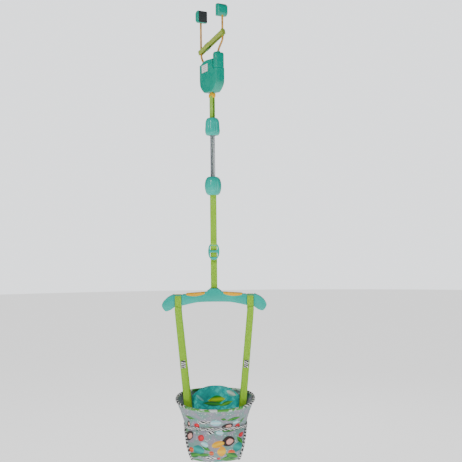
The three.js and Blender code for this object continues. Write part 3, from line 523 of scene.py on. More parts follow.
def print_colours():
    return {
        "bush": (rgb(14, 104, 30), rgb(66, 162, 36), 1.0),
        "blob": (rgb(38, 8, 4), rgb(246, 170, 156), 0.0),
        "ball": (rgb(196, 0, 26), rgb(240, 30, 46), 0.0),
        "stripe": (rgb(22, 22, 26), rgb(240, 242, 240), 0.3),
        "sky": (rgb(150, 214, 224), rgb(206, 234, 238), 0.0),
        "sun": (rgb(230, 160, 0), rgb(250, 200, 20), 0.2),
        "teal": (rgb(0, 130, 124), rgb(0, 176, 164), 0.2),
        "bud": (rgb(216, 60, 10), rgb(240, 120, 50), 0.0),
    }


def printed_cloth():
    """Cotton with a scattered print of leaves, balls, pebbles and stripes on a pale grey ground."""
    made, tree, shader, coords = material("printed cotton", 0.88, Sheen_Weight=0.15)
    uv = coords.outputs["UV"]
    x, y, _ = parts_of(tree, uv)
    wrapped = maths(tree, "WRAP", x, PRINT_REPEAT / 2, -PRINT_REPEAT / 2)
    half_round = maths(tree, "ABSOLUTE", maths(tree, "ADD", y, SLING_HALF))
    flat = vector_of(tree, wrapped, maths(tree, "SUBTRACT", half_round, SLING_HALF), 0.0)
    jitter = noise_node(tree, uv, 45).node.outputs["Color"]
    wobble = scaled(tree, vectors(tree, "SUBTRACT", jitter, (0.5, 0.5, 0.5)), 0.008)
    place = vectors(tree, "ADD", flat, wobble)
    patches = ramp(tree, noise_node(tree, uv, 34, 3), 0.4, 0.62)
    ground = mix(tree, patches, rgb(150, 144, 160), rgb(112, 156, 146))
    fleck = ramp(tree, noise_node(tree, uv, 260, 1), 0.66, 0.69)
    ground = mix(tree, fleck, ground, rgb(96, 128, 132))
    pale = ramp(tree, noise_node(tree, uv, 150, 1), 0.68, 0.7)
    colour = mix(tree, pale, ground, rgb(244, 248, 246))
    bars = zebra_at(tree, uv, 0.011)
    palette = print_colours()
    for kind, px, py, half_w, half_h, turn in PRINT:
        dark, light, point = palette[kind]
        spot = spot_at(tree, place, (px * MM, py * MM), half_w, half_h, turn, point)
        if kind == "stripe":
            body = mix(tree, bars, dark, light)
        elif kind in ("blob", "ball"):
            centre = ((px + half_w * 0.2) * MM, (py - half_h * 0.05) * MM)
            core = spot_at(tree, place, centre, half_w * CORE_SHARE, half_h * CORE_SHARE, turn, 0.0)
            body = mix(tree, core["Mask"], dark, light)
        else:
            body = mix(tree, ramp(tree, spot["Across"], 0.0, 0.6), light, dark)
        colour = mix(tree, spot["Mask"], colour, body)
    wear = ramp(tree, noise_node(tree, uv, 14, 3), 0.3, 0.7)
    faded = mix(tree, wear, mix(tree, 0.1, colour, (0.25, 0.3, 0.3, 1)), colour)
    crease = noise_node(tree, uv, 60, 4, 0.6)
    woven_surface(tree, shader, uv, faded, 1300.0, crease=(crease, 2.2))
    return made


def quilted_pad_cloth():
    """Soft teal print: darker checks and one broad leaf, low in the middle of the pad."""
    made, tree, shader, coords = material("pad cotton", 0.9, Sheen_Weight=0.2)
    place = coords.outputs["Object"]
    x, _, z = parts_of(tree, place)
    flat = vector_of(tree, x, z, 0.0)
    checker = tree.nodes.new("ShaderNodeTexVoronoi")
    checker.distance = "CHEBYCHEV"
    checker.inputs["Scale"].default_value = 46
    checker.inputs["Randomness"].default_value = 0.35
    tree.links.new(rotated(tree, flat, math.radians(42)), checker.inputs["Vector"])
    patch = ramp(tree, checker.outputs["Distance"], 0.28, 0.36)
    cloud = ramp(tree, noise_node(tree, place, 38, 3), 0.35, 0.65)
    ground = mix(tree, cloud, rgb(0, 204, 200), rgb(60, 236, 226))
    colour = mix(tree, times(tree, patch, 0.45), ground, rgb(0, 150, 160))
    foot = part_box("back_pad")[0][2] + 0.056
    leaves = [
        (0.004, foot + 0.004, 36, 16, -6, rgb(206, 236, 20), rgb(40, 160, 20)),
        (0.042, foot - 0.010, 30, 8, -22, rgb(120, 204, 60), rgb(50, 150, 60)),
        (-0.012, foot - 0.012, 40, 9, 6, rgb(70, 176, 60), rgb(24, 120, 70)),
        (0.062, foot + 0.030, 20, 12, 24, rgb(244, 248, 240), rgb(120, 206, 190)),
        (-0.062, foot + 0.012, 20, 9, 40, rgb(130, 232, 226), rgb(40, 180, 180)),
    ]
    for lx, lz, half_w, half_h, turn, light, dark in leaves:
        spot = spot_at(tree, flat, (lx, lz), half_w, half_h, turn, 0.9)
        vein = ramp(tree, spot["Across"], 0.05, 0.7)
        colour = mix(tree, spot["Mask"], colour, mix(tree, vein, light, dark))
    crease = noise_node(tree, place, 70, 4, 0.6)
    woven_surface(tree, shader, flat, colour, 1200.0, crease=(crease, 2.4))
    return made


def plain_label():
    """A white label with a few plain bars. Nothing on it can be read."""
    made, tree, shader, coords = material("plain label", 0.5, Coat_Weight=0.2)
    x, y, _ = parts_of(tree, coords.outputs["UV"])
    across = maths(tree, "ABSOLUTE", maths(tree, "SUBTRACT", x, 0.5))
    rows = wave(tree, y, 0.25)
    bar = times(tree, ramp(tree, rows, 0.3, 0.5), ramp(tree, across, 0.34, 0.32))
    cloud = noise_node(tree, coords.outputs["UV"], 9, 3)
    paper = mix(tree, ramp(tree, cloud, 0.3, 0.7), rgb(226, 230, 228), rgb(246, 247, 245))
    printed = mix(tree, times(tree, bar, 0.55), paper, rgb(70, 80, 84))
    paint(tree, shader, printed, ramp(tree, cloud, 0.3, 0.7, (0.42, 0.6)))
    bump(tree, shader, cloud, 0.1, 0.0002)
    return made


def make_finishes():
    return {
        "teal": plastic("clamp teal", rgb(0, 156, 132), 0.24, 0.2),
        "bright teal": plastic("bright teal", rgb(0, 184, 166), 0.2, 0.25),
        "yellow": plastic("amber yellow", rgb(244, 180, 0), 0.45, 0.05, 0.2),
        "dark green": plastic("buckle green", rgb(58, 116, 20), 0.34, 0.15),
        # The plug grey also colours the hub mouth's sheet of painted shade.
        "plug": plastic("plug grey", rgb(44, 50, 52), 0.45, 0.05),
        "arm": painted_steel(),
        "steel": bright_steel(),
        "rubber": ribbed_rubber(),
        "webbing": webbing("lime webbing", rgb(160, 218, 40), rgb(98, 156, 10), WEB),
        "narrow webbing": webbing("narrow lime webbing", rgb(168, 190, 50), rgb(110, 140, 24), 0.02),
        "lime thread": thread("lime thread", rgb(196, 226, 120)),
        "white thread": thread("white thread", rgb(232, 234, 226)),
        "cotton": printed_cloth(),
        "pad": quilted_pad_cloth(),
        "zebra": striped_tape("striped tape", 0.013),
        "rim tape": striped_tape("rim tape", 0.018, side_only=True),
        "tape": striped_tape("dashed tape", 0.0085),
        "label": plain_label(),
    }


# ---------------------------------------------------------------- building pieces
def publish(name, bm, finish, body, replaces=(), smooth=40):
    """Turns a bmesh into a finished piece that rides on its body and stands for CAD nodes."""
    bmesh.ops.remove_doubles(bm, verts=bm.verts, dist=1e-6)
    mesh = bpy.data.meshes.new(name)
    bm.to_mesh(mesh)
    bm.free()
    obj = link(name, mesh)
    mesh.materials.append(finishes[finish])
    mesh.shade_smooth()
    if smooth:
        mesh.set_sharp_from_angle(angle=math.radians(smooth))
    if replaces:
        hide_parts(*replaces)
    if body:
        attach(obj, body)
    return obj


def round_edges(bm, edges, by, segments, clamp=True):
    """Rounds the edges given, all by the same radius."""
    bmesh.ops.bevel(
        bm,
        geom=edges,
        offset=by,
        offset_type="OFFSET",
        segments=segments,
        profile=0.5,
        affect="EDGES",
        material=-1,
        clamp_overlap=clamp,
    )


def sharp_edges(bm, over=0.5):
    return [e for e in bm.edges if e.calc_face_angle(0) > over]


def capped(bm, dist=1e-7):
    """Joins a rolled-up grid along its seam and closes its two ends."""
    bmesh.ops.remove_doubles(bm, verts=bm.verts, dist=dist)
    rims = [e for e in bm.edges if e.is_boundary]
    if rims:
        bmesh.ops.holes_fill(bm, edges=rims, sides=0)
    bmesh.ops.recalc_face_normals(bm, faces=bm.faces)
    return bm


def grid_surface(at, columns, rows, uv=None, wrap=False):
    """A grid whose every vertex is moved to at(u, v), with uv(u, v) as its map, in metres."""
    bm = bmesh.new()
    bmesh.ops.create_grid(bm, x_segments=columns, y_segments=rows, size=0.5, calc_uvs=True)
    layer = bm.loops.layers.uv.verify()
    for face in bm.faces:
        for loop in face.loops:
            u, v = loop.vert.co.x + 0.5, loop.vert.co.y + 0.5
            loop[layer].uv = uv(u, v) if uv else (u, v)
    for vert in bm.verts:
        vert.co = at(vert.co.x + 0.5, vert.co.y + 0.5)
    if wrap:
        bmesh.ops.remove_doubles(bm, verts=bm.verts, dist=1e-5)
    return bm


def thicken(bm, depth):
    """Gives an open surface its thickness, half to each side."""
    bmesh.ops.recalc_face_normals(bm, faces=bm.faces)
    for vert in bm.verts:
        vert.normal_update()
    shift = {vert: vert.normal * depth / 2 for vert in bm.verts}
    for vert, move in shift.items():
        vert.co += move
    bmesh.ops.solidify(bm, geom=bm.faces[:], thickness=depth)
    bmesh.ops.recalc_face_normals(bm, faces=bm.faces)


STEP = 0.004  # between samples along a tube or a strap
BAND_SIDES = 32


class Route:
    """A smooth path through points, sampled evenly, with a steady sideways direction."""

    def __init__(self, points, closed=False, step=STEP):
        points = [Vector(p) for p in points]
        n = len(points)
        samples = []
        spans = n if closed else n - 1
        for i in range(spans):
            if closed:
                p = [points[(i + k - 1) % n] for k in range(4)]
            else:
                p = [points[min(max(i + k - 1, 0), n - 1)] for k in range(4)]
            count = max(2, math.ceil((p[2] - p[1]).length / step))
            for k in range(count):
                samples.append(self.knot(*p, k / count))
        if not closed:
            samples.append(points[-1].copy())
        self.points = samples
        self.closed = closed
        ends = samples + samples[:1] if closed else samples
        self.lengths = [0.0]
        for a, b in zip(ends, ends[1:]):
            self.lengths.append(self.lengths[-1] + (b - a).length)
        self.length = self.lengths[-1]
        self.ends = ends

    @staticmethod
    def knot(a, b, c, d, t):
        return 0.5 * (
            2 * b + (c - a) * t + (2 * a - 5 * b + 4 * c - d) * t**2 + (3 * b - a - 3 * c + d) * t**3
        )

    def at(self, t):
        """The point a share t along the length."""
        want = min(max(t % 1 if self.closed and t != 1 else t, 0), 1) * self.length
        low, high = 0, len(self.lengths) - 1
        while high - low > 1:
            middle = (low + high) // 2
            if self.lengths[middle] <= want:
                low = middle
            else:
                high = middle
        span = self.lengths[high] - self.lengths[low] or 1
        return self.ends[low].lerp(self.ends[high], (want - self.lengths[low]) / span)

    def tangent(self, t):
        e = 0.6 * STEP / max(self.length, STEP)
        if self.closed:
            return (self.at((t + e) % 1) - self.at((t - e) % 1)).normalized()
        return (self.at(t + e) - self.at(t - e)).normalized()


def tube(route, radius, sides, hint):
    """A round bar along a route. Radius is a number or a function of the share along it."""
    steps = max(8, round(route.length / STEP))
    size = radius if callable(radius) else lambda t: radius
    hint = Vector(hint)

    def at(u, v):
        t = route.tangent(v)
        side = t.cross(hint)
        side = side.normalized() if side.length > 1e-3 else t.orthogonal().normalized()
        up = side.cross(t)
        a = 2 * math.pi * u
        return route.at(v) + (side * math.cos(a) + up * math.sin(a)) * size(v)

    def uv(u, v):
        return (u * 2 * math.pi * size(v), v * route.length)

    return capped(grid_surface(at, sides, steps, uv), 1e-6)


def band(route, width, thick, across):
    """A strip of webbing along a route. Across gives its width direction at a share of the length."""
    steps = max(6, round(route.length / STEP))
    side_of = across if callable(across) else lambda t: Vector(across)

    def flat_side(a):
        """Across the strip from -1 to 1, with round selvedges only at the ends."""
        return max(-1, min(1, 1.12 * math.cos(a)))

    def at(u, v):
        side = side_of(v).normalized()
        normal = side.cross(route.tangent(v)).normalized()
        a = 2 * math.pi * u
        y = math.sin(a)
        rise = math.copysign(abs(y) ** 0.45, y) * thick / 2
        return route.at(v) + side * flat_side(a) * width / 2 + normal * rise

    def uv(u, v):
        return ((flat_side(2 * math.pi * u) + 1) / 2 * width, v * route.length)

    return capped(grid_surface(at, BAND_SIDES, steps, uv))


def stitch_rows(rows, length=0.0030, gap=0.0014, radius=0.00035):
    """Short raised threads along each row. A row is a list of points on the cloth's face."""
    bm = bmesh.new()
    for row in rows:
        route = Route(row, step=0.002)
        count = max(1, int(route.length / (length + gap)))
        for i in range(count):
            a = route.at((i + 0.15) / count)
            b = route.at((i + 0.15 + length / (length + gap) * 0.9) / count)
            way = b - a
            if way.length < 1e-5:
                continue
            turn = way.to_track_quat("Z", "Y").to_matrix().to_4x4()
            stretch = Matrix.Diagonal((1, 1, way.length / 2 / radius, 1))
            place = Matrix.Translation((a + b) / 2) @ turn @ stretch
            bmesh.ops.create_icosphere(bm, subdivisions=1, radius=radius, matrix=place)
    return bm


def slab(outline, y0, y1):
    """A plate in the X-Z plane from its outline, between two depths."""
    bm = bmesh.new()
    face = bm.faces.new([bm.verts.new((x, y0, z)) for x, z in outline])
    lifted = bmesh.ops.extrude_face_region(bm, geom=[face])["geom"]
    moved = [v for v in lifted if isinstance(v, bmesh.types.BMVert)]
    bmesh.ops.translate(bm, verts=moved, vec=(0, y1 - y0, 0))
    bmesh.ops.recalc_face_normals(bm, faces=bm.faces)
    return bm


def cylinder(bm, axis, radius, a, b, centre, sides=28):
    """A round pin between two places along the Y or the Z axis."""
    way = Vector((0, 1, 0)) if axis == "y" else UP
    turn = Matrix.Rotation(math.pi / 2, 4, "X") if axis == "y" else Matrix()
    bmesh.ops.create_cone(
        bm,
        cap_ends=True,
        segments=sides,
        radius1=radius,
        radius2=radius,
        depth=b - a,
        matrix=Matrix.Translation(Vector(centre) + way * (a + b) / 2) @ turn,
    )


# ---------------------------------------------------------------- places taken from the frame
def span(node, axis=2):
    low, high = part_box(node)
    return low[axis], high[axis]


def middle(node):
    low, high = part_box(node)
    return (Vector(low) + Vector(high)) / 2


class Hold:
    """The jumper's key places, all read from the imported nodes."""

    def __init__(self):
        self.turn = math.radians(-55)  # the clamp about Z
        self.housing_low, self.housing_top = span("clamp_housing_front")
        self.socket_low, self.socket_top = span("front_arm_socket")
        self.pad_low, self.pad_top = span("front_pad")
        self.eye_low = span("hanger_eye")[0]
        self.eye_pin = middle("eye_pin").z
        self.upper = span("upper_cover_front")
        self.lower = span("lower_cover_front")
        self.coil = span("bounce_spring")
        self.ring = span("height_adjuster")
        self.bar = span("bar_shell_front")
        self.hub_pin = middle("hub_pin").z

    def out(self, x, y, z):
        """A place in the clamp's own directions, millimetres across the wall, turned into the frame."""
        c, s = math.cos(self.turn), math.sin(self.turn)
        return Vector(((x * c - y * s) * MM, (x * s + y * c) * MM, z))


def turned(bm):
    """Turns a piece modelled square to the clamp into the frame."""
    bmesh.ops.rotate(bm, verts=bm.verts, cent=(0, 0, 0), matrix=Matrix.Rotation(hold.turn, 3, "Z"))
    return bm


def arc(cx, cz, rx, rz, a0, a1, steps):
    """Points of an elliptical arc in the X-Z plane, angles in degrees."""
    return [
        (
            cx + rx * math.cos(math.radians(a0 + (a1 - a0) * i / steps)),
            cz + rz * math.sin(math.radians(a0 + (a1 - a0) * i / steps)),
        )
        for i in range(steps + 1)
    ]


def spline(points, per):
    """A smooth open line through a few (x, z) points, each stretch cut into per pieces."""
    places = [Vector((x, 0, z)) for x, z in points]
    n = len(places)
    made = []
    for i in range(n - 1):
        near = [places[min(max(i + k - 1, 0), n - 1)] for k in range(4)]
        made += [Route.knot(*near, k / per) for k in range(per)]
    return [(p.x, p.z) for p in [*made, places[-1]]]


def boxed_cross(wide, face, top, tall):
    """Stitch rows across a strap: two level lines with a cross between them."""

    def at(side, z):
        return wide * side * STITCH_HALF + face + UP * z

    low = top - tall
    level = [[at(-1, z), at(1, z)] for z in (top, low)]
    return [*level, [at(-1, top), at(1, low)], [at(1, top), at(-1, low)]]


# ---------------------------------------------------------------- clamp
HOUSING_HALF = 0.058
HOUSING_DEPTH = 0.040
STITCH_HALF = 0.0105
PAD_IN, PAD_OUT, PAD_HALF = 0.0603, 0.083, 0.022  # each pad's two faces and its half width
GRIP_IN, GRIP_OUT, GRIP_HALF = 0.057, 0.0602, 0.019


def housing_outline():
    """The housing's tall U: a step up to the socket at one end, a slope down to the rear arm."""
    low, top = hold.housing_low, hold.housing_top
    h = HOUSING_HALF
    inner = h - 0.026
    step = hold.socket_low - 0.0006
    bottom = [(-h, low + 0.050), (-h + 0.004, low + 0.028), (-h + 0.020, low + 0.009), (-0.024, low)]
    left = spline(bottom, 6)
    right = [(-x, z) for x, z in reversed(left)]
    crown = [(-0.012, top), (-0.030, top - 0.004), (-0.046, top - 0.012), (-h, top - 0.016)]
    return left + right + [(h, step), (inner, step), (inner, top)] + spline(crown, 5)


def make_clamp():
    outline = housing_outline()
    for name, sign in (("front", -1), ("rear", 1)):
        seam = sign * 0.0002
        bm = slab(outline, seam, sign * HOUSING_DEPTH / 2)
        face = sign * HOUSING_DEPTH / 2
        rims = [e for e in bm.edges if all(abs(v.co.y - face) < 1e-6 for v in e.verts)]
        round_edges(bm, rims, 0.009, 7)
        bmesh.ops.triangulate(bm, faces=[f for f in bm.faces if len(f.verts) > 4])
        bmesh.ops.recalc_face_normals(bm, faces=bm.faces)
        node = f"clamp_housing_{name}"
        publish(f"{node}_shell", turned(bm), "teal", "clamp", [node], smooth=35)
    make_socket()
    make_label()
    make_pads()
    make_arms()
    make_safety_strap()
    make_eye()


def make_socket():
    """The tower that takes the front arm, with a collar."""
    low, top = hold.socket_low, hold.socket_top
    h = HOUSING_HALF
    inner = h - 0.0240
    box = [(inner, low), (h, low), (h, top - 0.006), (h - 0.006, top)]
    box += [(inner + 0.006, top), (inner, top - 0.006)]
    bm = slab(box, -0.0192, 0.0192)
    tall = [e for e in bm.edges if abs(e.verts[0].co.z - e.verts[1].co.z) > 0.01]
    crown = [e for e in bm.edges if all(v.co.z > top - 0.007 for v in e.verts)]
    rims = [e for e in bm.edges if e in tall or e in crown]
    round_edges(bm, rims, 0.0052, 6)
    publish("arm_socket_shell", turned(bm), "teal", "clamp", ["front_arm_socket"], smooth=35)
    collar = bmesh.new()
    centre = ((h - 0.012) / MM, 0, top)
    place = hold.out(*centre)
    cylinder(collar, "z", 0.0072, -0.002, 0.004, place)
    edges = [e for e in collar.edges if all(v.co.z > place.z for v in e.verts)]
    round_edges(collar, edges, 0.0022, 4, clamp=False)
    publish("arm_collar", collar, "teal", "clamp")


def make_label():
    low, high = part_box("clamp_label")
    z = (low[2] + high[2]) / 2

    def at(u, v):
        x = -0.018 + (u - 0.5) * 0.040
        return Vector((x, -HOUSING_DEPTH / 2 - 0.0016, z + (v - 0.5) * 0.029 + (u - 0.5) * 0.004))

    bm = grid_surface(at, 12, 10)
    thicken(bm, 0.0006)
    publish("plain_label", turned(bm), "label", "clamp", ["clamp_label"])


def make_pads():
    """Soft-cornered blocks whose lower edge comes to a blunt point, with a ribbed rubber face."""
    low, top = hold.pad_low, hold.pad_top
    for name, sign, body in (("front", 1, "clamp"), ("rear", -1, "rear_arm")):
        inner, outer = PAD_IN * sign, PAD_OUT * sign
        side = [(inner, low), (outer - 0.008 * sign, low), (outer, low + 0.010), (outer, top - 0.009)]
        side += [(outer - 0.009 * sign, top), (inner, top)]
        bm = slab(side, -PAD_HALF, PAD_HALF)
        round_edges(bm, bm.edges[:], 0.0042, 5)
        publish(f"{name}_pad_block", turned(bm), "teal", body, [f"{name}_pad"], smooth=35)
        near, far = GRIP_IN * sign, GRIP_OUT * sign
        face = [(near, low + 0.002), (far, low + 0.002), (far, top - 0.002), (near, top - 0.002)]
        grip = slab(face, -GRIP_HALF, GRIP_HALF)
        round_edges(grip, grip.edges[:], 0.0008, 3, clamp=False)
        publish(f"{name}_rubber_grip", turned(grip), "rubber", body, [f"{name}_grip"])


STRAP_TURN = 0.0062  # the safety strap's middle line round an arm
ARM = 0.004
ARM_OUT = 75  # millimetres from the wall's middle


def arm_route(sign):
    """The front arm's bend rises from the socket, the rear arm's from its pin."""
    top = hold.socket_top
    if sign > 0:
        bends = [(46, top - 0.040), (46, top - 0.010), (48, top + 0.010), (74, top + 0.042)]
        bends.append((ARM_OUT, top + 0.060))
    else:
        pin = middle("rear_arm_pin").z
        bends = [(42, pin + 0.006), (46, pin + 0.020), (66, top - 0.014), (74, top + 0.006)]
        bends.append((ARM_OUT, top + 0.030))
    bends += [(ARM_OUT, -0.030), (ARM_OUT, 0.0), (ARM_OUT, hold.pad_top - 0.014)]
    return Route([hold.out(sign * x, 0, z) for x, z in bends])


def make_arms():
    for name, sign, body in (("front", 1, "clamp"), ("rear", -1, "rear_arm")):
        bm = tube(arm_route(sign), ARM, 20, hold.out(0, 1000, 0).normalized())
        if sign < 0:
            pin = middle("rear_arm_pin")
            ring = bmesh.new()
            cylinder(ring, "y", 0.008, -0.005, 0.005, (0, 0, 0), 32)
            round_edges(ring, ring.edges[:], 0.0008, 2, clamp=False)
            bmesh.ops.translate(ring, verts=ring.verts, vec=(-0.042, 0, pin.z))
            publish("rear_arm_knuckle", turned(ring), "arm", body)
        publish(f"{name}_bent_arm", bm, "arm", body, [f"{name}_arm"])


def make_safety_strap():
    """Narrow webbing from one arm to the other, doubled round each and run through a buckle."""
    top = hold.socket_top
    foot, head = (-ARM_OUT, 0, top + 0.018), (ARM_OUT, 0, top + 0.070)
    along = (hold.out(*head) - hold.out(*foot)).normalized()
    across = (UP - along * UP.dot(along)).normalized()
    a, b = hold.out(*foot), hold.out(*head)
    out = hold.out(0, -1000, 0).normalized()
    loop = []
    for centre, first in ((a, 0.5), (b, -0.5)):
        for i in range(9):
            angle = math.pi * (first + i / 8)
            loop.append(centre + along * math.cos(angle) * STRAP_TURN - out * math.sin(angle) * STRAP_TURN)
    bm = band(Route(loop, closed=True), NARROW_WEB, NARROW_THICK, across)
    strap = publish(
        "safety_strap_loop",
        bm,
        "narrow webbing",
        None,
        ["safety_strap", "safety_strap_collar_front", "safety_strap_collar_rear"],
    )
    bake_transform(strap)
    publish_wrap("front_arm_wrap", b, "clamp")
    at = middle("safety_buckle")
    frame_out = [(-0.013, -0.0132), (0.013, -0.0132), (0.013, 0.0132), (-0.013, 0.0132)]
    buckle = slab(frame_out, -0.0048, 0.0048)
    front_faces = [f for f in buckle.faces if abs(f.normal.y) > 0.9]
    bmesh.ops.inset_individual(buckle, faces=front_faces, thickness=0.0035, depth=0.0)
    inner = [f for f in buckle.faces if abs(f.normal.y) > 0.9 and f.calc_area() > 0.0002]
    bmesh.ops.inset_individual(buckle, faces=inner, thickness=0.0006, depth=-0.0012)
    round_edges(buckle, sharp_edges(buckle), 0.0011, 3)
    slope = math.atan2(head[2] - foot[2], 2 * ARM_OUT * MM)
    bmesh.ops.rotate(buckle, verts=buckle.verts, cent=(0, 0, 0), matrix=Matrix.Rotation(-slope, 3, "Y"))
    bmesh.ops.translate(turned(buckle), verts=buckle.verts, vec=at)
    publish("ladder_buckle", buckle, "dark green", "buckle", ["safety_buckle"])


def publish_wrap(name, at, body):
    """A turn of webbing lying round an arm, above the strap's own loop."""
    angles = [2 * math.pi * i / 14 for i in range(14)]
    ring = [at + Vector((math.cos(a) * STRAP_TURN, math.sin(a) * STRAP_TURN, 0)) for a in angles]
    bm = band(Route(ring, closed=True, step=0.003), 0.027, NARROW_THICK, UP)
    publish(name, bm, "narrow webbing", body)


def make_eye():
    """The moulded eye: a barrel on the pin and a neck."""
    low = hold.eye_low
    w, h = 0.018, 0.018
    outer = arc(-w + 0.006, low + 0.006, 0.006, 0.006, 180, 270, 5)
    outer += arc(w - 0.006, low + 0.006, 0.006, 0.006, 270, 360, 5)
    outer += arc(w - 0.008, low + h - 0.006, 0.008, 0.006, 0, 90, 5)
    outer += [(0.007, low + h + 0.002), (0.007, hold.eye_pin)]
    outer += [(-0.007, hold.eye_pin), (-0.007, low + h + 0.002)]
    outer += arc(-w + 0.008, low + h - 0.006, 0.008, 0.006, 90, 180, 5)
    bm = slab(outer, -0.005, 0.005)
    faces = [f for f in bm.faces if abs(f.normal.y) > 0.9]
    rims = [e for f in faces for e in f.edges]
    round_edges(bm, list(set(rims)), 0.0018, 4)
    publish("moulded_eye", turned(bm), "yellow", "eye", ["hanger_eye"], smooth=35)
    barrel = bmesh.new()
    cylinder(barrel, "y", 0.0085, -0.006, 0.006, (0, 0, hold.eye_pin), 32)
    publish("eye_barrel", turned(barrel), "yellow", "eye")


# ---------------------------------------------------------------- bounce unit
def loop_route(top, bottom, direction, reach):
    """A flat webbing loop round two bars, given as (z, radius), the width along the other way."""
    points = []
    for centre, radius, sign in ((top[0], top[1], 1), (bottom[0], bottom[1], -1)):
        for i in range(9):
            angle = math.pi * i / 8 if sign > 0 else math.pi + math.pi * i / 8
            points.append(UP * centre + direction * math.cos(angle) * radius + UP * math.sin(angle) * radius)
    return Route(points, closed=True, step=reach)


def make_upper_strap():
    """The short webbing between the eye and the upper cover, its faces sewn together part way."""
    wide = hold.out(1000, 0, 0).normalized()
    deep = hold.out(0, 1000, 0).normalized()
    top = (hold.eye_low + 0.003, 0.0042)
    pin = middle("upper_cover_pin").z
    route = loop_route(top, (pin, 0.0042), deep, 0.003)
    bm = band(route, 0.024, WEB_THICK, wide)
    publish("upper_webbing", bm, "webbing", "upper_unit", ["upper_strap"])
    rows = boxed_cross(wide, deep * -0.0053, hold.eye_low - 0.030, 0.016)
    publish("upper_webbing_stitches", stitch_rows(rows), "lime thread", "upper_unit")


# Each cover's outline, as shares of its radius and of its height.
BELL = [(0.46, 1), (0.66, 0.975), (0.82, 0.89), (0.92, 0.76), (0.95, 0.62)]
BELL += [(0.97, 0.48), (1, 0.30), (0.95, 0.13), (0.80, 0.02), (0.62, 0)]
BARREL = [(0.42, 1), (0.62, 0.975), (0.80, 0.89), (0.94, 0.74), (1, 0.52)]
BARREL += [(0.96, 0.30), (0.83, 0.11), (0.66, 0.02), (0.58, 0)]
LOBES, GROOVE = 6, 0.0016


def cover(profile, radius, low, high, mouth, lobes, depth):
    """A thin lobed bell turned about the hanging line, with a rolled mouth and a wall behind it."""
    line = spline([(r * radius, low + h * (high - low)) for r, h in profile], 6)
    wall = 0.0024
    inner = [(max(x - wall, mouth), min(max(z, low + wall), high - wall)) for x, z in reversed(line)]
    whole = [(mouth, high)] + line + [(mouth, low), (mouth, low + wall)] + inner + [(mouth, high - wall)]
    count = len(whole)
    around = 96

    def at(u, v):
        index = min(int(round(v * count)), count) % count
        x, z = whole[index]
        outer = 1 <= index <= len(line)
        share = (z - low) / (high - low)
        swell = math.sin(math.pi * min(max(share * 1.08 - 0.02, 0), 1)) ** 0.6 if outer else 0
        a = 2 * math.pi * u
        groove = (0.5 + 0.5 * math.cos(lobes * a)) ** 6
        r = x - depth * groove * swell
        return Vector((r * math.cos(a), r * math.sin(a), z))

    bm = grid_surface(at, around, count, wrap=True)
    bmesh.ops.recalc_face_normals(bm, faces=bm.faces)
    return bm


def make_covers():
    for part, name, profile, radius, mouth, (low, high) in (
        ("upper", "upper_bell", BELL, 0.0295, 0.0135, hold.upper),
        ("lower", "lower_bell", BARREL, 0.033, 0.0132, hold.lower),
    ):
        bm = cover(profile, radius, low, high, mouth, LOBES, GROOVE)
        nodes = [f"{part}_cover_front", f"{part}_cover_rear"]
        publish(name, bm, "bright teal", f"{part}_unit", nodes, smooth=50)


def make_spring():
    """The close-wound extension coil, drawn out slightly so its turns read apart, and its tether."""
    low, high = hold.coil
    wire, radius, turns = 0.0013, 0.0087, 62
    steps = turns * 14

    def at(u, v):
        i = min(int(round(v * steps)), steps)
        a = 2 * math.pi * turns * i / steps
        out = Vector((math.cos(a), math.sin(a), 0))
        s = 2 * math.pi * u
        height = low + wire + (high - low - 2 * wire) * i / steps
        middle_line = Vector((radius * math.cos(a), radius * math.sin(a), height))
        return middle_line + out * math.cos(s) * wire + UP * math.sin(s) * wire

    coil = capped(grid_surface(at, 8, steps))
    coil = publish("fine_coil", coil, "steel", None, ["bounce_spring"], smooth=0)
    start, end = UP * (hold.upper[0] + 0.004), UP * (hold.lower[1] - 0.004)
    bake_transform(coil)
    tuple(start)
    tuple(end)
    cord = tube(Route([start, (0, 0, -0.53), end]), 0.0022, 12, ACROSS)
    cord = publish("tether_cord", cord, "webbing", None, ["spring_tether"])
    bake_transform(cord)
    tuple(start)
    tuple(end)


# ---------------------------------------------------------------- webbing and adjuster
def make_lower_webbing():
    """The webbing from the swivel, folded once at the adjuster's middle bar."""
    swivel_bar = hold.lower[0] + 0.007
    y = 0.0044
    ring_top = hold.ring[1]
    mid = (hold.ring[0] + hold.ring[1]) / 2
    points = [(0, 0.0010, swivel_bar + 0.0042), (0, -0.0042, swivel_bar), (0, -0.0018, swivel_bar - 0.014)]
    points += [(0, -0.0010, swivel_bar - 0.05), (0, -0.0012, ring_top + 0.03)]
    points += [(0, -y - 0.0006, ring_top + 0.002), (0, -y, ring_top - 0.005), (0, -0.001, ring_top - 0.010)]
    points += [(0, 0.0046, mid + 0.004), (0, 0.0048, mid - 0.001)]
    route = Route(points, step=0.003)
    bm = band(route, WEB, WEB_THICK, ACROSS)
    extra = [(0, 0.0012, swivel_bar + 0.0042), (0, 0.0042, swivel_bar)]
    extra += [(0, 0.0018, swivel_bar - 0.014), (0, 0.0010, swivel_bar - 0.045)]
    tail = band(Route(extra, step=0.003), WEB, WEB_THICK, ACROSS)
    mesh = bpy.data.meshes.new("tail")
    tail.to_mesh(mesh)
    tail.free()
    bm.from_mesh(mesh)
    strap = publish("lower_webbing", bm, "webbing", None, ["lower_strap"])
    start, end = UP * (swivel_bar - 0.016), UP * (ring_top + 0.004)
    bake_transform(strap)
    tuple(start)
    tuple(end)
    rows = boxed_cross(ACROSS, Vector((0, -0.0030, 0)), swivel_bar - 0.020, 0.022)
    stitches = publish("lower_webbing_stitches", stitch_rows(rows), "lime thread", None)
    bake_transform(stitches)
    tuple(start)
    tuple(end)


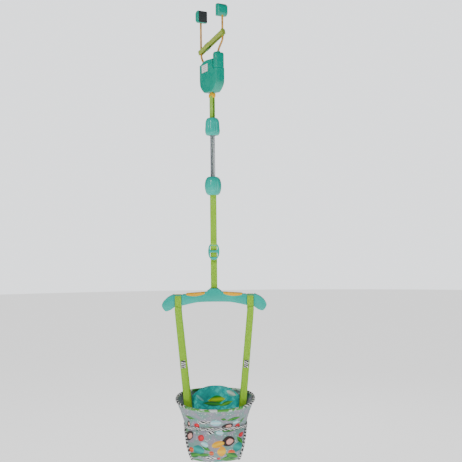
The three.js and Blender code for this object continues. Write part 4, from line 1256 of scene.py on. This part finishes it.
def make_hub_webbing():
    """The webbing from the adjuster down to the bar's hub and doubled back up."""
    low, high = hold.ring
    mid = (low + high) / 2
    pin = hold.hub_pin
    line = [(0.0046, mid - 0.002), (0.0052, mid - 0.006), (0.0010, low + 0.011), (0.0048, low + 0.004)]
    line += [(0.0050, low - 0.002), (0.0030, low - 0.03), (0.0036, pin + 0.03), (0.0056, pin)]
    line += [(0.0040, pin - 0.0042), (-0.0001, pin - 0.0058), (-0.0040, pin - 0.0042), (-0.0056, pin)]
    line += [(-0.0034, pin + 0.03), (-0.0022, low - 0.03), (-0.0022, low - 0.010)]
    bm = band(Route([(0, y, z) for y, z in line], step=0.003), WEB, WEB_THICK, ACROSS)
    strap = publish("hub_webbing", bm, "webbing", None, ["hub_strap"])
    start, end = UP * (low - 0.004), UP * (hold.bar[1] + 0.004)
    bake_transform(strap)
    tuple(start)
    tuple(end)


def make_adjuster():
    """An oval ring whose middle bar the webbing weaves round."""
    low, high = hold.ring
    mid = (low + high) / 2
    rx, rz = 0.022, (high - low) / 2
    half_x, half_z = 0.0142, 0.0092  # of each window
    deep = 0.006

    def rim(a):
        c, s = math.cos(a), math.sin(a)
        return (rx * math.copysign(abs(c) ** 0.8, c), rz * math.copysign(abs(s) ** 0.92, s))

    def window(a, sign):
        c, s = math.cos(a), math.sin(a)
        x = half_x * math.copysign(abs(c) ** 0.34, c) * (1 - 0.10 * max(0, s))
        return (x, sign * (0.0132 + half_z * math.copysign(abs(s) ** 0.4, s)))

    bm = bmesh.new()

    def closed_line(points):
        ring = [bm.verts.new((x, -deep / 2, mid + z)) for x, z in points]
        return [bm.edges.new((v, ring[(i + 1) % len(ring)])) for i, v in enumerate(ring)]

    outlines = [[rim(2 * math.pi * i / 72) for i in range(72)]]
    outlines += [[window(2 * math.pi * i / 40, sign) for i in range(40)] for sign in (1, -1)]
    edges = [edge for points in outlines for edge in closed_line(points)]
    bmesh.ops.triangle_fill(bm, edges=edges, use_beauty=True, use_dissolve=False)
    lifted = bmesh.ops.extrude_face_region(bm, geom=bm.faces[:])["geom"]
    bmesh.ops.translate(bm, verts=[v for v in lifted if isinstance(v, bmesh.types.BMVert)], vec=(0, deep, 0))
    bmesh.ops.recalc_face_normals(bm, faces=bm.faces)
    bmesh.ops.dissolve_limit(bm, angle_limit=0.01, verts=bm.verts, edges=bm.edges)
    round_edges(bm, sharp_edges(bm, 1.2), 0.0016, 4)
    publish("oval_adjuster", bm, "bright teal", "adjuster", ["height_adjuster"])


# ---------------------------------------------------------------- spreader bar
BAR_HALF = 0.203
STRAP_X = 0.140
CHANNEL = 0.0142
CHANNEL_SLOPE = 0.0016
CHANNEL_DEPTH = 0.0026
INLAY_START, INLAY_LONG = 0.034, 0.076


def bar_outline():
    """The bar from the front: a low arch below, drooping rounded ends, and a raised hub above."""
    top = hold.bar[1]
    under = top - 0.052
    right_low = [(0.0, under), (0.035, under - 0.0003), (0.070, under - 0.0025), (0.120, under - 0.013)]
    right_low += [(0.140, under - 0.0176), (0.154, under - 0.020)]
    end = [(0.172, under - 0.0315), (0.190, under - 0.0345), (BAR_HALF, under - 0.015)]
    end += [(0.196, under + 0.004), (0.180, under + 0.019), (0.160, top - 0.023)]
    crown = [(0.145, top - 0.0226), (0.120, top - 0.023), (0.090, top - 0.0195)]
    crown += [(0.060, top - 0.0162), (0.030, top - 0.014)]
    hub = [(0.024, top - 0.0075), (0.014, top - 0.0012), (0.0, top)]
    half = spline(right_low + end, 5)[:-1] + spline([end[-1], *crown], 5)[:-1] + spline([crown[-1], *hub], 5)
    return half + [(-x, z) for x, z in reversed(half[1:-1])]


def in_channel(x):
    """1 inside the strap's channel, 0 outside, with short slopes between."""
    return 1 - min(max((abs(abs(x) - STRAP_X) - CHANNEL) / CHANNEL_SLOPE, 0), 1)


def make_bar():
    outline = bar_outline()
    depth = 0.020
    for name, sign in (("front", -1), ("rear", 1)):
        bm = slab(outline, sign * 0.0002, sign * depth)
        rims = [e for e in bm.edges if all(abs(v.co.y - sign * depth) < 1e-6 for v in e.verts)]
        round_edges(bm, rims, 0.0062, 6)
        cuts = (-CHANNEL - CHANNEL_SLOPE, -CHANNEL, CHANNEL, CHANNEL + CHANNEL_SLOPE)
        for x in [s * (STRAP_X + d) for s in (-1, 1) for d in cuts]:
            whole = bm.verts[:] + bm.edges[:] + bm.faces[:]
            bmesh.ops.bisect_plane(bm, geom=whole, plane_co=(x, 0, 0), plane_no=ACROSS)
        top = hold.bar[1]
        for v in bm.verts:
            inside = in_channel(v.co.x)
            if inside > 0:
                if v.co.z > top - 0.030:
                    v.co.z -= CHANNEL_DEPTH * inside
                if abs(v.co.y) > 0.010:
                    v.co.y -= sign * CHANNEL_DEPTH * inside
        bmesh.ops.recalc_face_normals(bm, faces=bm.faces)
        node = f"bar_shell_{name}"
        publish(f"bar_{name}_shell", bm, "bright teal", "bar", [node], smooth=32)
    for name, sign in (("left", -1), ("right", 1)):
        make_insert(name, sign)
    make_hub_slot()


def insert_top(x):
    top = hold.bar[1]
    return top - 0.0125 - 0.0072 * (abs(x) / 0.12) ** 1.2


def make_insert(name, sign):
    """An amber inlay along the bar's shoulder, proud of it front and back."""
    upper, lower = [], []
    for i in range(17):
        x = INLAY_START + INLAY_LONG * i / 16
        upper.append((sign * x, insert_top(x)))
        x = INLAY_START + INLAY_LONG - INLAY_LONG * i / 16
        share = (x - INLAY_START) / INLAY_LONG
        tall = 0.0145 * (math.sin(math.pi * min(max(share * 0.86 + 0.07, 0), 1)) ** 0.5)
        lower.append((sign * x, insert_top(x) - max(tall, 0.004)))
    bm = slab(upper + lower, -0.0206, 0.0206)
    round_edges(bm, sharp_edges(bm), 0.0045, 5)
    publish(f"{name}_inlay", bm, "yellow", "bar", [f"{name}_insert"])


def make_hub_slot():
    """The mouth the webbing drops into at the crown, with a rolled lip, and a dark sheet across it as
    painted shade in the hole.
    """
    top = hold.bar[1]
    lip = []
    for i in range(40):
        a = 2 * math.pi * i / 40
        c, s = math.cos(a), math.sin(a)
        x, y = 0.0152 * math.copysign(abs(c) ** 0.3, c), 0.0146 * math.copysign(abs(s) ** 0.3, s)
        lip.append(Vector((x, y, top - 0.0008)))
    bm = tube(Route(lip, closed=True, step=0.002), 0.0012, 8, (0, 0, 1))
    publish("hub_lip", bm, "bright teal", "bar")
    # Painted shade: a flat dark plate just under the crown's top stands for the dark inside the hole.
    mouth = grid_surface(lambda u, v: Vector(((u - 0.5) * 0.028, (v - 0.5) * 0.029, top - 0.0004)), 4, 4)
    thicken(mouth, 0.0004)
    publish("hub_mouth_shade_sheet", mouth, "plug", "bar")


# ---------------------------------------------------------------- side straps
def strap_corner(side, front):
    """Where a side strap's fall meets the seat's rim."""
    name = ("left" if side < 0 else "right") + ("_front" if front < 0 else "_rear") + "_strap"
    low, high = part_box(name)
    return Vector((side * 0.104, front * 0.045, low[2])), high[2]


LAP = 0.0038  # how far a fall's sewn end stands out from the saddle's
PATCH = (0.0175, 0.029)  # the striped patch's width and height


def fall_across(route):
    """The width direction of a strap, square to its run and as near to level as it can be."""

    def across(t):
        way = route.tangent(t)
        return (ACROSS - way * way.x).normalized()

    return across


def make_side_straps():
    """Each side strap lies over the bar, and its two falls are lapped on to it just beneath."""
    top = hold.bar[1]
    flat = top - 0.0226 - 0.0026 + 0.0011
    under = top - 0.052 - 0.0176
    for name, side in (("left", -1), ("right", 1)):
        foot_front, start = strap_corner(side, -1)
        foot_rear, _ = strap_corner(side, 1)
        x, y = side * STRAP_X, 0.0188
        saddle = [(x, -y, under - 0.0110), (x, -y, under - 0.004), (x, -y, under + 0.010)]
        saddle += [(x, -y, flat - 0.012), (x, -y + 0.003, flat - 0.003)]
        saddle += [(x, -y + 0.008, flat), (x, 0, flat + 0.0006)]
        saddle += [(px, -py, pz) for px, py, pz in reversed(saddle[:-1])]
        bm = band(Route(saddle, step=0.003), WEB, WEB_THICK, ACROSS)
        publish(f"{name}_saddle_webbing", bm, "webbing", "bar", [f"{name}_saddle_strap"])
        for end, front, foot in (("front", -1, foot_front), ("rear", 1, foot_rear)):
            head = Vector((x, front * (y + LAP), start - 0.012))
            tuck = (foot - head).normalized() * 0.030
            points = [foot + tuck, foot, foot.lerp(head, 0.35), foot.lerp(head, 0.7), head]
            points.append(Vector((x, front * (y + LAP), under - 0.0040)))
            route = Route(points, step=0.005)
            fall = band(route, WEB, WEB_THICK, fall_across(route))
            publish(f"{name}_{end}_fall", fall, "webbing", "seat", [f"{name}_{end}_strap"])
        make_strap_tag(name, side, foot_front, Vector((x, -y - LAP, start - 0.012)))


def make_strap_tag(name, side, foot, head):
    """A small striped patch sewn to the front fall, with stitches round its edge."""
    low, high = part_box(f"{name}_tag")
    z = (low[2] + high[2]) / 2
    share = (z - foot.z) / (head.z - foot.z)
    centre = foot.lerp(head, share)
    way = (head - foot).normalized()
    across = (ACROSS - way * way.x).normalized()
    out = across.cross(way).normalized()
    out = out if out.y < 0 else -out
    bm = grid_surface(
        lambda u, v: centre + across * (u - 0.5) * PATCH[0] + way * (v - 0.5) * PATCH[1] + out * 0.0022,
        6,
        10,
        lambda u, v: (u * PATCH[0], v * PATCH[1]),
    )
    thicken(bm, 0.0009)
    publish(f"{name}_strap_patch", bm, "tape", "seat", [f"{name}_tag"], smooth=0)
    face = out * 0.0029
    signs = ((-1, -1), (1, -1), (1, 1), (-1, 1), (-1, -1))
    corners = [centre + face + across * x * 0.0078 + way * z * 0.0132 for x, z in signs]
    rows = [[a, b] for a, b in zip(corners, corners[1:])]
    publish(f"{name}_patch_stitches", stitch_rows(rows), "lime thread", "seat")


# ---------------------------------------------------------------- seat
RIM_Z, WAIST_Z, PAD_FOOT = -1.483, -1.573, -1.554
WAIST_HALF = (0.118, 0.096)
RIM_HALF = (0.150, 0.120)
TAPE_ROUND, BAND_ROUND = 0.112, 0.122  # mean radii that the maps are laid out on
CLOTH = 0.0026
SLING_TOP, SLING_LOW = 0.112, 0.084  # half widths at the waist and under the seat
SLING_DROP = 0.143  # from the waist to where the sling is narrowest
SLING_CURVE = [(-0.096, -1.5745), (-0.095, -1.613), (-0.088, -1.665), (-0.062, -1.702), (-0.024, -1.715)]


def blend_to(a, b, t):
    return a + (b - a) * t


def power(v):
    return math.copysign(abs(v) ** 0.86, v)


def oval(a, x, y, z):
    return Vector((x * power(math.cos(a)), y * power(math.sin(a)), z))


def rim_height(a):
    return RIM_Z + 0.021 * math.sin(a) + 0.006 * math.cos(a) ** 2


def creases(a, v):
    """How far the band's cloth stands out of its shape: gathers at the waist and a soft unevenness."""
    gather = math.sin(31 * a + 2.2 * noise.noise(Vector((2 * math.cos(a), 2 * math.sin(a), 4 * v))))
    soft = noise.noise(Vector((4.2 * math.cos(a), 4.2 * math.sin(a), 3.0 * v)))
    middle_share = math.sin(math.pi * min(max(v, 0), 1)) ** 0.7
    return 0.0010 * gather * max(1 - v, 0) ** 1.6 + 0.0026 * soft * middle_share


def band_at(u, v, lift=0.0):
    a = 2 * math.pi * u
    flare = max(v, 0) ** 1.3
    r = lift + creases(a, v)
    x = blend_to(WAIST_HALF[0], RIM_HALF[0], flare) + r
    y = blend_to(WAIST_HALF[1], RIM_HALF[1], flare) + r
    return oval(a, x, y, blend_to(WAIST_Z, rim_height(a), v))


def front_arc(u):
    """Metres round the band from its front's middle, for the print."""
    a = (2 * math.pi * u - 1.5 * math.pi + math.pi) % (2 * math.pi) - math.pi
    return a * BAND_ROUND


def make_seat():
    bm = grid_surface(band_at, 160, 30, lambda u, v: (front_arc(u), 0.100 * v), wrap=True)
    fix_seam(bm, BAND_ROUND)
    thicken(bm, CLOTH)
    cloth = publish("cloth_band", bm, "cotton", "seat", ["seat_band"], smooth=0)

    rim = Route([band_at(i / 64, 1.0) + UP * 0.0040 for i in range(64)], closed=True)
    bm = tube(rim, lambda t: 0.0052 + 0.0003 * math.sin(t * 410), 14, UP)
    edge = publish("rolled_rim", bm, "rim tape", "seat", ["rim_binding"])

    tape = grid_surface(tape_at, 220, 6, lambda u, v: (2 * math.pi * u * TAPE_ROUND, 0.014 * v), wrap=True)
    fix_seam(tape, TAPE_ROUND)
    thicken(tape, 0.0012)
    line = publish("scalloped_tape", tape, "tape", "seat", ["waist_tape"], smooth=0)
    sling = make_sling()
    bindings = [make_leg_binding(side) for side in (-1, 1)]
    make_back_pad()
    make_seat_stitches()


def fix_seam(bm, radius):
    """Where the map jumps back to its start, the far loops are moved on by one length."""
    layer = bm.loops.layers.uv.verify()
    whole = 2 * math.pi * radius
    for face in bm.faces:
        xs = [loop[layer].uv.x for loop in face.loops]
        if max(xs) - min(xs) > whole / 2:
            for loop in face.loops:
                if loop[layer].uv.x < (max(xs) + min(xs)) / 2:
                    loop[layer].uv.x += whole


def tape_at(u, v):
    """A narrow tape round the waist whose lower edge is cut in shallow scallops."""
    a = 2 * math.pi * u
    scallop = 0.0024 * (1 - abs(math.sin(31 * a))) * (1 - v)
    p = oval(a, WAIST_HALF[0] + 0.0052, WAIST_HALF[1] + 0.0052, WAIST_Z)
    return Vector((p.x, p.y, WAIST_Z + blend_to(-0.0045, 0.0046, v) - scallop))


def sling_line(per):
    """The sling's middle line as (y, z), from the front waist, under, to the rear waist."""
    return spline(SLING_CURVE + [(-y, z) for y, z in reversed(SLING_CURVE)], per)


def sling_low(z):
    """0 at the waist, 1 where the sling passes between the legs."""
    return min(1, max(0, (WAIST_Z - z) / SLING_DROP))


def sling_half(low):
    return blend_to(SLING_TOP, SLING_LOW, low**1.6)


def make_sling():
    """One panel from the front waist down under the seat and up behind, narrowing between the legs."""
    line = sling_line(8)
    lengths = [0.0]
    for (y0, z0), (y1, z1) in zip(line, line[1:]):
        lengths.append(lengths[-1] + math.hypot(y1 - y0, z1 - z0))
    rows = len(line) - 1

    def at(u, v):
        return sling_shape(2 * u - 1, *line[round(v * rows)])

    def uv(u, v):
        i = round(v * rows)
        return ((2 * u - 1) * sling_half(sling_low(line[i][1])), -lengths[i])

    bm = grid_surface(at, 60, rows, uv)
    thicken(bm, CLOTH)
    return publish("cloth_sling", bm, "cotton", "seat", ["seat_sling"], smooth=0)


def sling_shape(across, y, z, out=0.0):
    low = sling_low(z)
    x = across * (sling_half(low) + out)
    round_off = math.sqrt(max(0, 1 - (x / 0.121) ** 2))
    sag = 0.0022 * noise.noise(Vector((x * 16, y * 13, z * 13))) * (1 - across * across)
    face = blend_to(1, round_off, 1 - 0.75 * low)
    lift = low * (x / SLING_LOW) ** 2 * SLING_DROP / 16
    return Vector((x, y * face + math.copysign(sag, y) * (1 - low), z + lift + sag * low))


def make_leg_binding(side):
    """A striped cord that closes each leg opening, along the sling's edge and the waist."""
    edge = [sling_shape(side, y, z, 0.0048) for y, z in sling_line(4)]
    a0 = math.atan2(edge[-1].y, edge[-1].x)
    a1 = math.atan2(edge[0].y, edge[0].x)
    if side < 0 and a1 <= 0:
        a1 += 2 * math.pi
    turns = [blend_to(a0, a1, (i + 1) / 12) for i in range(11)]
    across = [oval(a, *WAIST_HALF, WAIST_Z - 0.0115) for a in turns]
    route = Route([*edge[1:-1], *across], closed=True)
    bm = tube(route, lambda t: 0.0050 + 0.0003 * math.sin(t * 300), 12, ACROSS)
    name = "left" if side < 0 else "right"
    return publish(f"{name}_leg_cord", bm, "zebra", "seat", [f"{name}_leg_binding"])


def pad_at(across, v, shrink=0.0):
    """The back pad's middle surface: an arched panel standing inside the band's rear."""
    x = 0.092 * across * (1 - shrink)
    arch = 1 - 0.31 * abs(across) ** 2.6
    z = PAD_FOOT + 0.112 * arch * blend_to(shrink, 1 - shrink, v)
    lift = (z - WAIST_Z) / 0.131
    curve = max(lift, 0) ** 1.3
    half_y = blend_to(0.096, 0.120, curve) - 0.0115 - 0.008 * lift
    half_x = blend_to(0.118, 0.150, curve) - 0.0115
    return Vector((x, half_y * math.sqrt(max(0.05, 1 - (x / half_x) ** 2)), z))


def make_back_pad():
    bm = grid_surface(lambda u, v: pad_at(2 * u - 1, v, -0.015), 44, 28)
    thicken(bm, 0.011)
    pad = publish("stuffed_back_pad", bm, "pad", None, ["back_pad"], smooth=0)
    stuff(pad, 0.006, voxel=0.0045)
    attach(pad, "seat")
    points = [pad_at((2 * i / 40 - 1) * 0.985, 0.985) for i in range(41)]
    sides = [[pad_at(s * 0.985, 0.05 + 0.9 * i / 12) for i in range(12)] for s in (-1, 1)]
    points = sides[0] + points + sides[1][::-1]
    piping = tube(Route(points), 0.0024, 10, (0, 1, 0))
    publish("pad_piping", piping, "pad", "seat")


def stuff(obj, most, voxel=0.005):
    """Fills a closed pad: its cloth is blown up from inside, and no point moves further than most."""
    bpy.context.view_layer.objects.active = obj
    remesh = obj.modifiers.new("even cloth", "REMESH")
    remesh.mode = "VOXEL"
    remesh.voxel_size = voxel
    apply_all(obj)
    before = [v.co.copy() for v in obj.data.vertices]
    cloth = obj.modifiers.new("stuffing", "CLOTH")
    cloth.settings.quality = 6
    cloth.settings.mass = 0.15
    cloth.settings.tension_stiffness = cloth.settings.compression_stiffness = 22
    cloth.settings.shear_stiffness = 12
    cloth.settings.bending_stiffness = 0.6
    cloth.settings.use_pressure = True
    cloth.settings.uniform_pressure_force = 4
    cloth.settings.effector_weights.gravity = 0
    cloth.collision_settings.use_collision = False
    scene = bpy.context.scene
    for frame_number in range(1, 21):
        scene.frame_set(frame_number)
    apply_all(obj)
    for vert, old in zip(obj.data.vertices, before):
        move = vert.co - old
        if move.length > most:
            vert.co = old + move * (most / move.length)
    scene.frame_set(1)
    finer = obj.modifiers.new("smooth", "SUBSURF")
    finer.levels = finer.render_levels = 1
    apply_all(obj)


def apply_all(obj):
    """Puts what the modifiers make of a piece into its mesh."""
    bpy.context.view_layer.update()
    seen = obj.evaluated_get(bpy.context.evaluated_depsgraph_get())
    mesh = bpy.data.meshes.new_from_object(seen)
    finish = obj.data.materials[0]
    obj.modifiers.clear()
    obj.data = mesh
    if not mesh.materials:
        mesh.materials.append(finish)
    mesh.shade_smooth()


def make_seat_stitches():
    x, y = WAIST_HALF[0] + 0.0044, WAIST_HALF[1] + 0.0044
    waist = [oval(2 * math.pi * i / 90, x, y, WAIST_Z + 0.0062) for i in range(91)]
    rim = [band_at(i / 90, 0.94, 0.0018) for i in range(91)]
    rows = stitch_rows([waist, rim], 0.0034, 0.0018, 0.00032)
    publish("seat_stitches", rows, "white thread", "seat")


# ---------------------------------------------------------------- kept fittings and the room
SCREWS = [f"{part}_screw_{i}" for part in ("clamp", "bar") for i in (1, 2, 3, 4)]
KEPT = {
    "steel": [*SCREWS, "rear_arm_pin", "eye_pin", "arm_spring", "upper_cover_pin", "swivel", "hub_pin"],
    "plug": ["upper_spring_plug", "lower_spring_plug"],
}


FLOOR_DROP, FLOOR_RADIUS = 0.25, 14  # under the seat, and how far it reaches


def dress_kept():
    """The screws, pins, plugs and the swivel stay as built and take their materials here."""
    for finish, nodes in KEPT.items():
        for name in nodes:
            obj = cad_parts[name]
            obj.data.materials.clear()
            obj.data.materials.append(finishes[finish])
            obj.data.shade_smooth()
            obj.data.set_sharp_from_angle(angle=math.radians(35))


def make_room():
    """A plain pale floor under the seat, fading into a pale room."""
    bm = bmesh.new()
    place = Matrix.Translation((0, 0, cad_box[0][2] - FLOOR_DROP))
    bmesh.ops.create_circle(bm, cap_ends=True, segments=96, radius=FLOOR_RADIUS, matrix=place)
    mesh = bpy.data.meshes.new("floor")
    bm.to_mesh(mesh)
    bm.free()
    room = link("floor", mesh)
    paper, _, shader, _ = material("floor paper", roughness=0.95)
    shader.inputs["Base Color"].default_value = (0.9, 0.9, 0.9, 1)
    shader.inputs["Emission Color"].default_value = (1, 1, 1, 1)
    shader.inputs["Emission Strength"].default_value = 1.15
    mesh.materials.append(paper)


finishes = make_finishes()
hold = Hold()
make_camera()
make_lights()
make_room()
make_clamp()
make_upper_strap()
make_covers()
make_spring()
make_lower_webbing()
make_adjuster()
make_hub_webbing()
make_bar()
make_side_straps()
make_seat()
dress_kept()
